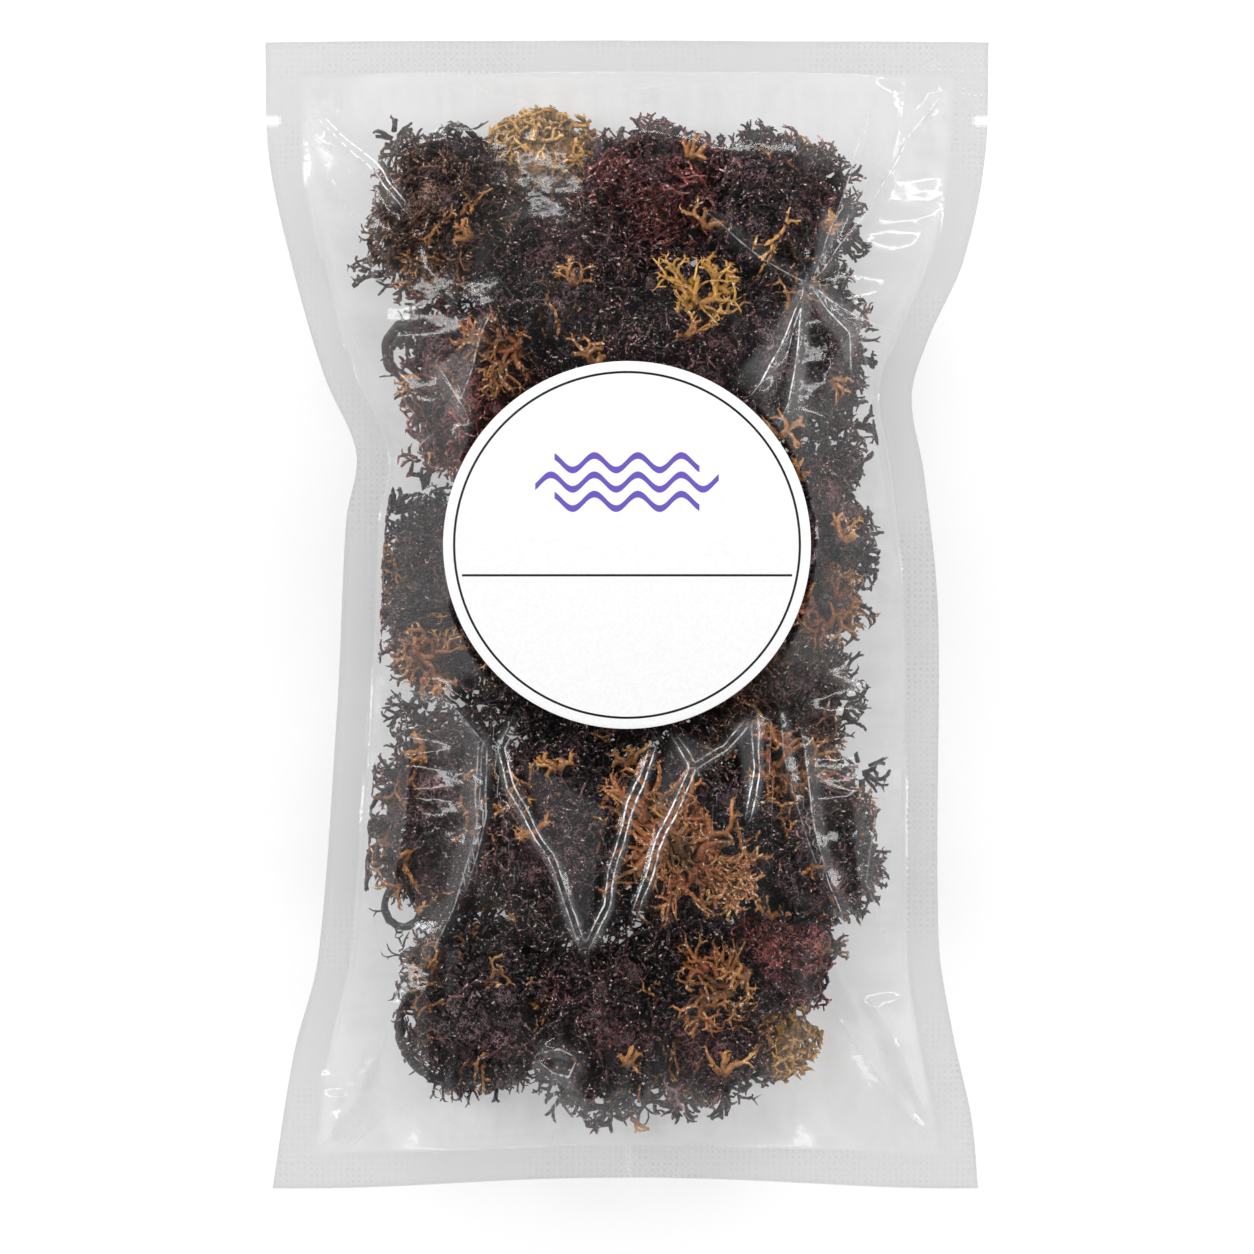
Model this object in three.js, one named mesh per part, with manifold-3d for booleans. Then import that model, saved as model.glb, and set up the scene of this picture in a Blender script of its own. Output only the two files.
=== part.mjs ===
// Dried irish moss in a sealed clear pouch, lying on its back. Millimetres.
// +X is to the right, +Y points to the pouch's notched end, +Z points up from the table.
// The origin is on the table, under the middle of the pouch.
import * as THREE from "three";
import { mergeVertices } from "three/addons/utils/BufferGeometryUtils.js";
import Module from "manifold-3d";

const wasm = await Module();
wasm.setup();

// Driving dimensions of the pouch and its sticker
const POUCH_WIDTH = 152.4;
const POUCH_LENGTH = 241.3;
const SEAL_WIDTH = 7;
const FILM = 0.4;
const GAP = 0.3;
const SEAM_HEIGHT = 12;
const CORNER_DROOP = 5;
const SEAM_WAVE = 1.1;
const BOTTOM_BOW = 2.6;
const NOTCH_DEPTH = 3;
const NOTCH_WIDTH = 2.7;
const NOTCH_Y = 104;
const LABEL_DIAMETER = 76.2;
const LABEL_THICKNESS = 0.4;
const LABEL_CENTRE = [0, 14.5];
const LABEL_CROWN = 36.6;
const LABEL_BEND_RADIUS = 450;
const LABEL_SIDES = 36;

// Blades of seaweed: thickness, and room kept round the middle of a blade to a wall and a film
const BLADE = 1;
const TUFT_MARGIN = 0.6;
const FILM_MARGIN = 1;
const FILM_REACH = 4;

// A tuft's core, as shares of the way out to its own outline and to its neighbours
const CORE_AT_POLE = 0.55;
const CORE_AT_RIM = 0.68;
const CORE_TO_WALL = 0.88;
const CORE_ROUGHNESS = 0.08;
const CORE_COLUMNS = 10;
const CORE_ROWS = 4;

// Forked fans on a core: how deep they are rooted, how far they lie over it, and how they fork
const FANS_ABOVE = 4;
const FANS_BELOW = 2;
const ROOT_SHARE = 0.6;
const ROOT_RADIUS = 0.11;
const ROOT_WIDTH = 0.6;
const FAN_REACH = 1.36;
const FAN_LEAN = 0.3;
const FAN_RISE = 0.4;
const FAN_RIPPLE = 0.08;
const FAN_WIDTH = 0.21;
const FAN_PRUNED = 0.25;
const FORK_TAPER = 0.74;
const FORK_SWAY = 0.3;
const FORK_REACH = 0.78;
const TIP_REACH = 0.84;
const TIP_SPREAD = 0.3;
const SMALL_TUFT = 250;
const UNDER_LABEL = 30;

// Loose fronds that lie flat on a tuft, as shares of their size
const FROND_WIDTH = 0.17;
const FROND_PRUNED = 0.12;
const FROND_TURN = 1.9;
const FROND_LENGTH = 1.5;
const FROND_BEND = 0.8;

const STEM_SIDES = 5;
const RELAXING_PASSES = 600;

// The pouch's side edges as [y, x], pulled in at the waist where the filling is fullest
const LEFT_EDGE = [
  [120.65, -76.2], [96, -75.2], [72, -70], [50, -63.5], [34, -56.8], [20, -58.9],
  [-20, -60.9], [-72, -64.9], [-92, -70], [-120.65, -74.6],
];
const RIGHT_EDGE = [
  [120.65, 76.2], [96, 75.2], [74, 70.5], [58, 63.3], [46, 59.8], [30, 62.3],
  [0, 65.3], [-68, 65.4], [-88, 68.5], [-106, 72.5], [-120.65, 73.9],
];

const COLOURS = {
  black: 0x17120f,
  plum: 0x2a1820,
  red: 0x4a2022,
  brown: 0x3a2219,
  amber: 0x8a5526,
  gold: 0xb0802f,
};

// Tufts as name, colour, centre x and y, half-widths x and y, height of the top
const TUFTS = [
  ["tuft_top_left", "brown", -36.5, 82.5, 20.5, 24, 27],
  ["tuft_top_gold", "gold", -16.5, 96.5, 16.5, 11, 22],
  ["tuft_top_middle", "red", 5, 89.5, 22, 17.5, 29],
  ["tuft_top_right", "plum", 29, 84.5, 21, 21, 29],
  ["tuft_upper_middle", "black", -13.5, 69, 27.5, 23, 34],
  ["tuft_upper_left", "red", -31, 47.5, 20, 24, 29],
  ["tuft_upper_centre", "plum", 9.5, 58, 26.5, 23, 34],
  ["tuft_upper_right", "black", 33, 55, 20, 25.5, 28],
  ["tuft_centre", "black", 0, 24.5, 42, 29.5, 33],
  ["tuft_middle_right", "plum", 37.5, 14, 17.5, 29.5, 26],
  ["tuft_middle_left", "black", -36.5, 3, 18.5, 28.5, 26],
  ["tuft_lower_centre", "black", -5, -11, 32, 26.5, 33],
  ["tuft_lower_side", "brown", 30, -19.5, 22, 24, 30],
  ["tuft_lower_left", "plum", -36.5, -42.5, 20.5, 28.5, 27],
  ["tuft_lower_middle", "black", -12.5, -47.5, 26.5, 31, 35],
  ["tuft_lower_fan_bed", "black", 13.5, -46.5, 24, 29.5, 34],
  ["tuft_lower_right", "black", 35.5, -50, 21, 25.5, 29],
  ["tuft_bottom_left", "black", -29, -81, 22, 25.5, 27],
  ["tuft_bottom_middle", "plum", -5, -84.5, 24, 23, 30],
  ["tuft_bottom_right", "plum", 17.5, -82.5, 21, 24, 28],
  ["tuft_bottom_red", "red", 32, -70, 15.5, 18.5, 25],
  ["tuft_bottom_gold", "gold", 31, -88.5, 11, 11, 18],
];

// Fronds on top of a tuft as name, colour, tuft, x, y, depth of their bed, size, heading in degrees
// and number of forks
const FRONDS = [
  ["frond_upper_left", "amber", "tuft_upper_left", -27, 55, 4.5, 11, 200, 3],
  ["frond_upper_right", "gold", "tuft_upper_centre", 16, 70, 4.5, 11, 80, 3],
  ["frond_middle_right", "amber", "tuft_middle_right", 42, 2, 4.5, 11, 100, 3],
  ["frond_middle_left", "amber", "tuft_middle_left", -41, -10, 4.5, 10, 330, 3],
  ["frond_lower_fan", "amber", "tuft_lower_fan_bed", 12, -47, 6, 20, 100, 4],
  ["frond_lower_side", "amber", "tuft_lower_side", 35, -30, 5, 12, 40, 3],
  ["frond_bottom", "amber", "tuft_bottom_right", 16, -77, 4.5, 12, 170, 3],
];

// Bare stems that leave a tuft and come back into it
const STEMS = [
  {
    tuft: "tuft_top_left",
    radius: 1.0,
    points: [[-40, 94, 15], [-38, 101.5, 16], [-33, 101.5, 16], [-30.5, 96, 15], [-33, 88, 14]],
  },
  {
    tuft: "tuft_upper_left",
    radius: 1.5,
    points: [[-38, 58, 14], [-48, 60.5, 13], [-50, 53, 12], [-42, 46, 13]],
  },
  {
    tuft: "tuft_lower_left",
    radius: 1.0,
    points: [[-42, -54, 14], [-50, -58, 13], [-50, -64, 12.5], [-44.5, -64.5, 13], [-41, -54, 13]],
  },
  {
    tuft: "tuft_bottom_left",
    radius: 1.3,
    points: [[-36, -70, 14], [-46, -80, 12.5], [-47, -91, 12], [-38, -98, 12.5], [-30, -92, 13]],
  },
  {
    tuft: "tuft_bottom_left",
    radius: 0.9,
    points: [[-46, -91, 12], [-40, -88, 13.5], [-32, -84, 14]],
  },
];

// The same numbers every time, from 0 to 1
function seeded(seed) {
  let state = seed;
  return () => {
    state = (state * 1664525 + 1013904223) % 4294967296;
    return state / 4294967296;
  };
}

// Value at y of a smooth line through [y, value] points that run from high y to low y
function alongEdge(edge, y) {
  let i = 0;
  while (i < edge.length - 2 && y < edge[i + 1][0]) i++;
  const [ya, a] = edge[i];
  const [yb, b] = edge[i + 1];
  const [yBefore, before] = edge[Math.max(i - 1, 0)];
  const [yAfter, after] = edge[Math.min(i + 2, edge.length - 1)];
  const slopeA = (b - before) / (yb - yBefore);
  const slopeB = (after - a) / (yAfter - ya);
  const step = yb - ya;
  const t = (y - ya) / step;
  return (
    a * (2 * t ** 3 - 3 * t ** 2 + 1) +
    slopeA * step * (t ** 3 - 2 * t ** 2 + t) +
    b * (3 * t ** 2 - 2 * t ** 3) +
    slopeB * step * (t ** 3 - t ** 2)
  );
}

// Plan of the pouch: across and along run from 0 to 1, along from the notched end down
function planPoint(across, along) {
  const top = POUCH_LENGTH / 2;
  const bow = BOTTOM_BOW * Math.sin(Math.PI * across) ** 2;
  const y = top - along * (POUCH_LENGTH - bow);
  const left = alongEdge(LEFT_EDGE, y);
  const right = alongEdge(RIGHT_EDGE, y);
  return [left + (right - left) * across, y];
}

// Height of the sealed seam, which droops at the corners and waves a little
function seamHeight(x, y) {
  const outward = Math.abs(x) / (POUCH_WIDTH / 2);
  const endward = Math.abs(y) / (POUCH_LENGTH / 2);
  const wave = Math.sin(0.085 * y + 0.6 * Math.sign(x)) + 0.6 * Math.sin(0.11 * x + 1);
  return SEAM_HEIGHT - CORNER_DROOP * outward ** 2 * endward ** 4 + SEAM_WAVE * wave;
}

// Each tuft keeps to the part of an ellipsoid that is on its own side of its neighbours
const tufts = TUFTS.map(([name, colour, x, y, halfX, halfY, top]) => ({
  name,
  colour,
  centre: new THREE.Vector3(x, y, top * 0.46),
  half: new THREE.Vector3(halfX, halfY, top * 0.54),
  walls: [],
}));

function radiusAlong(half, direction) {
  return 1 / direction.clone().divide(half).length();
}

for (const a of tufts) {
  for (const b of tufts) {
    if (a === b) continue;
    const apart = b.centre.clone().sub(a.centre);
    const distance = apart.length();
    const normal = apart.divideScalar(distance);
    const radiusA = radiusAlong(a.half, normal);
    const radiusB = radiusAlong(b.half, normal);
    const offset = normal.dot(a.centre) + (distance * radiusA) / (radiusA + radiusB);
    a.walls.push({ normal, offset });
  }
}

// Distances from a point inside a cell along a direction: to its ellipsoid, walls and films
function ellipsoidReach(cell, from, direction) {
  const d = direction.clone().divide(cell.half);
  const f = from.clone().sub(cell.centre).divide(cell.half);
  const a = d.dot(d);
  const b = f.dot(d);
  const c = f.dot(f) - 1;
  return (-b + Math.sqrt(Math.max(b * b - a * c, 0))) / a;
}

function wallReach(cell, from, direction) {
  let least = Infinity;
  for (const { normal, offset } of cell.walls) {
    const rate = normal.dot(direction);
    if (rate > 1e-6) least = Math.min(least, (offset - TUFT_MARGIN - normal.dot(from)) / rate);
  }
  return least;
}

function betweenFilms(point) {
  const [front, back] = films.map((grid) => heightAt(grid, point.x, point.y));
  return point.z < front - FILM_MARGIN && point.z > back + FILM_MARGIN;
}

function filmReach(from, direction, most) {
  const STEP = 0.4;
  for (let distance = STEP; distance < most; distance += STEP) {
    const point = from.clone().addScaledVector(direction, distance);
    if (!betweenFilms(point)) return Math.max(distance - FILM_MARGIN, STEP);
  }
  return most;
}

function reach(cell, from, direction) {
  const open = Math.min(ellipsoidReach(cell, from, direction), wallReach(cell, from, direction));
  return filmReach(from, direction, open);
}

// Draws a point back along its ray so that it ends inside the cell: near the middle it hardly moves,
// and what would be outside is eased towards the limit
function keptInside(cell, from, point) {
  const HARDNESS = 8;
  const ray = point.clone().sub(from);
  const distance = ray.length();
  if (distance < 1e-6) return point;
  const direction = ray.divideScalar(distance);
  const limit = reach(cell, from, direction);
  const share = distance / limit;
  const eased = share / (1 + share ** HARDNESS) ** (1 / HARDNESS);
  return from.clone().addScaledVector(direction, eased * limit);
}

// A bed for each frond that lies on a tuft: a flat wall cuts the tuft, and the frond is above it
const fronds = FRONDS.map(([name, colour, parent, x, y, depth, size, heading, forks]) => {
  const tuft = tufts.find((t) => t.name === parent);
  const px = (x - tuft.centre.x) / tuft.half.x;
  const py = (y - tuft.centre.y) / tuft.half.y;
  const pz = Math.sqrt(1 - px * px - py * py);
  const surface = new THREE.Vector3(x, y, tuft.centre.z + tuft.half.z * pz);
  const normal = new THREE.Vector3(px, py, pz).divide(tuft.half).normalize();
  const offset = normal.dot(surface) - depth;
  const walls = tuft.walls.map((w) => ({ ...w }));
  walls.push({ normal: normal.clone().negate(), offset: -offset });
  tuft.walls.push({ normal, offset });
  const from = surface.clone().addScaledVector(normal, -depth / 2);
  return { name, colour, size, heading, forks, normal, from, cell: { ...tuft, walls } };
});

// Flat forked fronds, count of them side by side within a turn round the origin, with tips about 1
// away: points in their own plane, triangles, the rim round them, and tips, where both faces meet
function forkedOutline(random, count, forks, width, pruned, turn = 2 * Math.PI) {
  const points = [];
  const triangles = [];
  const rim = [];
  const tips = new Set();
  const add = (v) => points.push(v) - 1;
  const polar = (radius, angle) =>
    new THREE.Vector2(radius * Math.cos(angle), radius * Math.sin(angle));
  function grow(right, left, low, high, level) {
    const angle = (low + high) / 2 + (random() - 0.5) * FORK_SWAY * (high - low);
    const base = points[left].clone().add(points[right]).multiplyScalar(0.5);
    if (level === forks || (level > 1 && random() < pruned)) {
      const tip = add(polar(TIP_REACH + TIP_SPREAD * random(), angle));
      triangles.push([right, tip, left]);
      rim.push(tip);
      tips.add(tip);
      return;
    }
    const share = (level + 0.6) / (forks + 0.3);
    const end = polar(ROOT_RADIUS + FORK_REACH * share, angle);
    const forward = end.clone().sub(base).normalize();
    const side = new THREE.Vector2(-forward.y, forward.x);
    const half = (width / 2) * FORK_TAPER ** level;
    const l = add(end.clone().addScaledVector(side, half));
    const r = add(end.clone().addScaledVector(side, -half));
    const crotch = add(end.clone().addScaledVector(forward, half));
    triangles.push([right, r, l], [right, l, left], [r, crotch, l]);
    rim.push(r);
    grow(r, crotch, low, (low + high) / 2, level + 1);
    rim.push(crotch);
    grow(crotch, l, (low + high) / 2, high, level + 1);
    rim.push(l);
  }
  const roots = [];
  for (let i = 0; i < count; i++) {
    const low = (turn * i) / count - turn / 2;
    const high = low + turn / count;
    const middle = (low + high) / 2;
    const root = polar(ROOT_RADIUS, middle);
    const side = polar((ROOT_WIDTH * width) / 2, middle + Math.PI / 2);
    const right = add(root.clone().sub(side));
    const left = add(root.clone().add(side));
    rim.push(right);
    grow(right, left, low, high, 0);
    rim.push(left);
    roots.push(right, left);
  }
  for (let i = 2; i < roots.length; i++) triangles.push([roots[0], roots[i - 1], roots[i]]);
  return { points, triangles, rim, tips };
}

// Places a flat outline on a surface and gives it thickness, half to each side along outward
function thickened(outline, place, outward) {
  const position = [];
  const upper = [];
  const lower = [];
  const put = (point) => position.push(...point.toArray()) / 3 - 1;
  outline.points.forEach((flat, i) => {
    const middle = place(flat);
    if (outline.tips.has(i)) {
      upper[i] = put(middle);
      lower[i] = upper[i];
      return;
    }
    const half = outward(middle).setLength(BLADE / 2);
    upper[i] = put(middle.clone().add(half));
    lower[i] = put(middle.clone().sub(half));
  });
  const index = [];
  for (const [a, b, c] of outline.triangles) {
    index.push(upper[a], upper[b], upper[c]);
    index.push(lower[a], lower[c], lower[b]);
  }
  outline.rim.forEach((a, i) => {
    const b = outline.rim[(i + 1) % outline.rim.length];
    if (!outline.tips.has(a)) index.push(upper[a], lower[a], lower[b]);
    if (!outline.tips.has(b)) index.push(upper[a], lower[b], upper[b]);
  });
  return indexedGeometry(position, index);
}

function indexedGeometry(position, index) {
  const geometry = new THREE.BufferGeometry();
  geometry.setAttribute("position", new THREE.Float32BufferAttribute(position, 3));
  geometry.setIndex(index);
  return geometry;
}

// Between three.js geometry and solids that can be joined and cut
function solidOf(geometry) {
  const bare = geometry.clone();
  bare.deleteAttribute("normal");
  bare.deleteAttribute("uv");
  const merged = mergeVertices(bare, 1e-4);
  return new wasm.Manifold(
    new wasm.Mesh({
      numProp: 3,
      vertProperties: new Float32Array(merged.attributes.position.array),
      triVerts: new Uint32Array(merged.index.array),
    }),
  );
}

// The largest closed surface of a solid: a loose scrap is dropped, and a sealed hollow is filled
function geometryOf(solid) {
  const { vertProperties, triVerts } = solid.getMesh();
  const above = Array.from({ length: vertProperties.length / 3 }, (_, i) => i);
  function top(vertex) {
    let i = vertex;
    while (above[i] !== i) i = above[i];
    return i;
  }
  for (let i = 0; i < triVerts.length; i += 3) {
    above[top(triVerts[i + 1])] = top(triVerts[i]);
    above[top(triVerts[i + 2])] = top(triVerts[i]);
  }
  const surfaces = new Map();
  for (const vertex of triVerts) {
    const surface = top(vertex);
    if (!surfaces.has(surface)) surfaces.set(surface, []);
    surfaces.get(surface).push(vertex);
  }
  const index = [...surfaces.values()].sort((a, b) => b.length - a.length)[0];
  return indexedGeometry(Array.from(vertProperties), index);
}

// One solid from several that overlap
function joined(geometries) {
  return geometryOf(geometries.map(solidOf).reduce((sum, next) => sum.add(next)));
}

// Distance from a tuft's centre to the surface of its smaller core, which is widest at its rim
function coreRadius(tuft, direction) {
  const steep = Math.abs(direction.clone().divide(tuft.half).normalize().z);
  const open = ellipsoidReach(tuft, tuft.centre, direction);
  const limit = reach(tuft, tuft.centre, direction);
  const rim = Math.min(CORE_AT_RIM * open, CORE_TO_WALL * limit);
  return rim + (Math.min(CORE_AT_POLE * open, limit) - rim) * steep;
}

function coreGeometry(tuft, random) {
  const ball = new THREE.SphereGeometry(1, CORE_COLUMNS, CORE_ROWS).rotateX(Math.PI / 2);
  ball.deleteAttribute("normal");
  ball.deleteAttribute("uv");
  const geometry = mergeVertices(ball);
  const position = geometry.attributes.position;
  const direction = new THREE.Vector3();
  for (let i = 0; i < position.count; i++) {
    direction.fromBufferAttribute(position, i).multiply(tuft.half).normalize();
    const radius = coreRadius(tuft, direction) * (1 - CORE_ROUGHNESS * random());
    const point = direction.multiplyScalar(radius).add(tuft.centre);
    position.setXYZ(i, point.x, point.y, point.z);
  }
  return geometry;
}

// Forked fans that leave the top (or the bottom) of a core together and lie over it like petals
function petals(tuft, random, count, forks, pole) {
  const lean = new THREE.Vector3(random() - 0.5, random() - 0.5, 0);
  lean.multiplyScalar(FAN_LEAN).add(pole).normalize();
  const up = new THREE.Vector3(0, 1, 0);
  const tilt = new THREE.Quaternion().setFromUnitVectors(up, lean);
  const start = 2 * Math.PI * random();
  const ripple = 6 * random();
  const place = (p) => {
    const far = Math.hypot(p.x, p.y);
    const azimuth = start + Math.atan2(p.y, p.x);
    const direction = new THREE.Vector3().setFromSphericalCoords(1, FAN_REACH * far, azimuth);
    direction.applyQuaternion(tilt).multiply(tuft.half).normalize();
    const inner = coreRadius(tuft, direction) * ROOT_SHARE;
    const outer = reach(tuft, tuft.centre, direction);
    const rise = 1.08 * Math.max(far - 1.4 * ROOT_RADIUS, 0) ** FAN_RISE;
    const wave = FAN_RIPPLE * far * Math.sin(5 * azimuth + 6 * far + ripple);
    const share = Math.min(rise + wave, 1);
    return direction.multiplyScalar(inner + (outer - inner) * share).add(tuft.centre);
  };
  const outward = (point) => point.clone().sub(tuft.centre);
  return thickened(forkedOutline(random, count, forks, FAN_WIDTH, FAN_PRUNED), place, outward);
}

function stemGeometry(radius, points) {
  const path = new THREE.CatmullRomCurve3(points.map((p) => new THREE.Vector3(...p)));
  const section = new THREE.Shape();
  for (let i = 0; i < STEM_SIDES; i++) {
    const angle = (i / STEM_SIDES) * 2 * Math.PI;
    const corner = [radius * Math.cos(angle), radius * Math.sin(angle)];
    if (i === 0) section.moveTo(...corner);
    else section.lineTo(...corner);
  }
  return new THREE.ExtrudeGeometry(section, { steps: 2 * points.length, extrudePath: path });
}

function tuftGeometry(tuft, seed) {
  const random = seeded(seed);
  const pieces = [coreGeometry(tuft, random)];
  const toLabel = Math.hypot(tuft.centre.x - LABEL_CENTRE[0], tuft.centre.y - LABEL_CENTRE[1]);
  const small = tuft.half.x * tuft.half.y < SMALL_TUFT;
  const forks = small || toLabel < UNDER_LABEL ? 2 : 3;
  pieces.push(petals(tuft, random, FANS_ABOVE, forks, new THREE.Vector3(0, 0, 1)));
  pieces.push(petals(tuft, random, FANS_BELOW, 2, new THREE.Vector3(0, 0, -1)));
  for (const stem of STEMS)
    if (stem.tuft === tuft.name) pieces.push(stemGeometry(stem.radius, stem.points));
  return joined(pieces);
}

// A frond that lies flat in its bed, under the film
function frondGeometry(frond, seed) {
  const random = seeded(seed);
  const heading = THREE.MathUtils.degToRad(frond.heading);
  const forward = new THREE.Vector3(Math.cos(heading), Math.sin(heading), 0);
  forward.addScaledVector(frond.normal, -forward.dot(frond.normal)).normalize();
  const side = new THREE.Vector3().crossVectors(frond.normal, forward);
  const place = (p) => {
    const bend = FROND_BEND * Math.sin(4 * p.x + 3 * p.y);
    const point = frond.from
      .clone()
      .addScaledVector(forward, FROND_LENGTH * frond.size * (p.x - 0.5))
      .addScaledVector(side, FROND_LENGTH * frond.size * p.y)
      .addScaledVector(frond.normal, bend);
    return keptInside(frond.cell, frond.from, point);
  };
  const outline = forkedOutline(random, 1, frond.forks, FROND_WIDTH, FROND_PRUNED, FROND_TURN);
  return joined([thickened(outline, place, () => frond.normal.clone())]);
}

// The films' grid: lines at the seal's inner edge, and evenly between
const ACROSS = 12;
const ALONG = 20;
const sealAcross = SEAL_WIDTH / (POUCH_WIDTH * 0.86);
const sealAlong = SEAL_WIDTH / POUCH_LENGTH;
function gridShare(i, count, seal) {
  if (i === 0) return 0;
  if (i === count) return 1;
  return seal + ((1 - 2 * seal) * (i - 1)) / (count - 2);
}

// The place of a share on the grid, counted in lines from 0
function gridPlace(share, count, seal) {
  const place = 1 + ((share - seal) * (count - 2)) / (1 - 2 * seal);
  return Math.min(Math.max(place, 0), count - 1e-6);
}

// Height of the lump that the tufts make under the film, front or back
function lump(x, y, side) {
  let height = -Infinity;
  for (const { centre, half } of tufts) {
    const px = (x - centre.x) / (half.x + FILM_REACH);
    const py = (y - centre.y) / (half.y + FILM_REACH);
    const inside = 1 - px * px - py * py;
    if (inside <= 0) continue;
    height = Math.max(height, side * centre.z + (half.z + FILM_MARGIN) * Math.sqrt(inside));
  }
  return height;
}

// The front film follows the sticker's gentle bend under it, and stays below it around it
function labelLimits(x, y) {
  const r = Math.hypot(x - LABEL_CENTRE[0], y - LABEL_CENTRE[1]);
  const crown = LABEL_CROWN - (r * r) / (2 * LABEL_BEND_RADIUS);
  if (r < LABEL_DIAMETER / 2 + 3) return [crown, crown];
  if (r < LABEL_DIAMETER / 2 + 14) return [-Infinity, crown];
  return [-Infinity, Infinity];
}

// A taut sheet from seam to seam over the lumps: side is 1 for the front film and -1 for the back
function filmGrid(side) {
  const grid = [];
  for (let j = 0; j <= ALONG; j++) {
    const row = [];
    for (let i = 0; i <= ACROSS; i++) {
      const across = gridShare(i, ACROSS, sealAcross);
      const [x, y] = planPoint(across, gridShare(j, ALONG, sealAlong));
      const sealed = i < 2 || j < 2 || i > ACROSS - 2 || j > ALONG - 2;
      const rest = side * seamHeight(x, y) + (GAP + FILM) / 2;
      const [least, most] = side > 0 ? labelLimits(x, y) : [-Infinity, -FILM / 2];
      const low = sealed ? rest : Math.max(lump(x, y, side), least);
      row.push({ x, y, low, high: sealed ? rest : most, height: rest });
    }
    grid.push(row);
  }
  for (let pass = 0; pass < RELAXING_PASSES; pass++) relax(grid);
  for (const point of grid.flat()) point.z = side * point.height;
  return grid;
}

// Moves each inner point to the mean of its neighbours, within its limits
function relax(grid) {
  for (let j = 1; j < ALONG; j++) {
    for (let i = 1; i < ACROSS; i++) {
      const point = grid[j][i];
      const above = grid[j - 1][i].height + grid[j + 1][i].height;
      const beside = grid[j][i - 1].height + grid[j][i + 1].height;
      point.height = Math.min(Math.max((above + beside) / 4, point.low), point.high);
    }
  }
}

// Height of a film at a point of the plan
function heightAt(grid, x, y) {
  const left = alongEdge(LEFT_EDGE, y);
  const right = alongEdge(RIGHT_EDGE, y);
  const across = (x - left) / (right - left);
  const bow = BOTTOM_BOW * Math.sin(Math.PI * across) ** 2;
  const along = (POUCH_LENGTH / 2 - y) / (POUCH_LENGTH - bow);
  const column = gridPlace(across, ACROSS, sealAcross);
  const line = gridPlace(along, ALONG, sealAlong);
  const i = Math.floor(column);
  const j = Math.floor(line);
  const u = column - i;
  const v = line - j;
  const above = grid[j][i].z * (1 - u) + grid[j][i + 1].z * u;
  const below = grid[j + 1][i].z * (1 - u) + grid[j + 1][i + 1].z * u;
  return above * (1 - v) + below * v;
}

// A sheet of film with its two faces and its rim
function filmGeometry(grid) {
  const columns = ACROSS + 1;
  const count = columns * (ALONG + 1);
  const position = [];
  for (const side of [0.5, -0.5])
    for (const { x, y, z } of grid.flat()) position.push(x, y, z + side * FILM);
  const index = [];
  const quad = (a, b, c, d) => index.push(a, b, c, a, c, d);
  for (let j = 0; j < ALONG; j++) {
    for (let i = 0; i < ACROSS; i++) {
      const a = j * columns + i;
      const b = a + columns;
      quad(a, b, b + 1, a + 1);
      // The lower face is split along the same diagonal
      index.push(a + count, b + 1 + count, b + count);
      index.push(a + count, a + 1 + count, b + 1 + count);
    }
  }
  const rim = [];
  for (let j = 0; j < ALONG; j++) rim.push(j * columns);
  for (let i = 0; i < ACROSS; i++) rim.push(ALONG * columns + i);
  for (let j = ALONG; j > 0; j--) rim.push(j * columns + ACROSS);
  for (let i = ACROSS; i > 0; i--) rim.push(i);
  rim.forEach((a, i) => {
    const b = rim[(i + 1) % rim.length];
    quad(a, a + count, b + count, b);
  });
  return indexedGeometry(position, index);
}

// A tear notch with a round end, cut in from one side edge
function notchGeometry(sign) {
  const CLEAR = 3;
  const DEPTH = 60;
  const radius = NOTCH_WIDTH / 2;
  const edge = alongEdge(sign < 0 ? LEFT_EDGE : RIGHT_EDGE, NOTCH_Y);
  const inner = edge - sign * (NOTCH_DEPTH - radius);
  const start = (sign * Math.PI) / 2;
  const outline = new THREE.Shape();
  outline.moveTo(edge + sign * CLEAR, NOTCH_Y - sign * radius);
  outline.lineTo(edge + sign * CLEAR, NOTCH_Y + sign * radius);
  outline.lineTo(inner, NOTCH_Y + sign * radius);
  outline.absarc(inner, NOTCH_Y, radius, start, start + Math.PI, false);
  const options = { depth: DEPTH, bevelEnabled: false, curveSegments: 5 };
  return new THREE.ExtrudeGeometry(outline, options).translate(0, 0, -DEPTH / 6);
}

function notchedFilm(grid) {
  const sheet = solidOf(filmGeometry(grid));
  const leftCut = sheet.subtract(solidOf(notchGeometry(-1)));
  return geometryOf(leftCut.subtract(solidOf(notchGeometry(1))));
}

// The round sticker, bent gently with the film under it
function labelGeometry() {
  const radius = LABEL_DIAMETER / 2;
  const bottom = FILM / 2 + GAP;
  const top = bottom + LABEL_THICKNESS;
  const profile = [
    [0, bottom],
    [radius / 2, bottom],
    [radius, bottom],
    [radius, top],
    [radius / 2, top],
    [0, top],
  ];
  const disc = new THREE.LatheGeometry(profile.map((p) => new THREE.Vector2(...p)), LABEL_SIDES);
  disc.deleteAttribute("normal");
  disc.deleteAttribute("uv");
  const geometry = mergeVertices(disc);
  geometry.rotateX(Math.PI / 2);
  const position = geometry.attributes.position;
  for (let i = 0; i < position.count; i++) {
    const x = position.getX(i);
    const y = position.getY(i);
    const crown = LABEL_CROWN - (x * x + y * y) / (2 * LABEL_BEND_RADIUS);
    position.setXYZ(i, x + LABEL_CENTRE[0], y + LABEL_CENTRE[1], position.getZ(i) + crown);
  }
  return geometry;
}

// Each piece has a material of its own
function mesh(name, geometry, look) {
  const made = new THREE.Mesh(geometry, new THREE.MeshStandardMaterial(look));
  made.name = name;
  return made;
}

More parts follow.
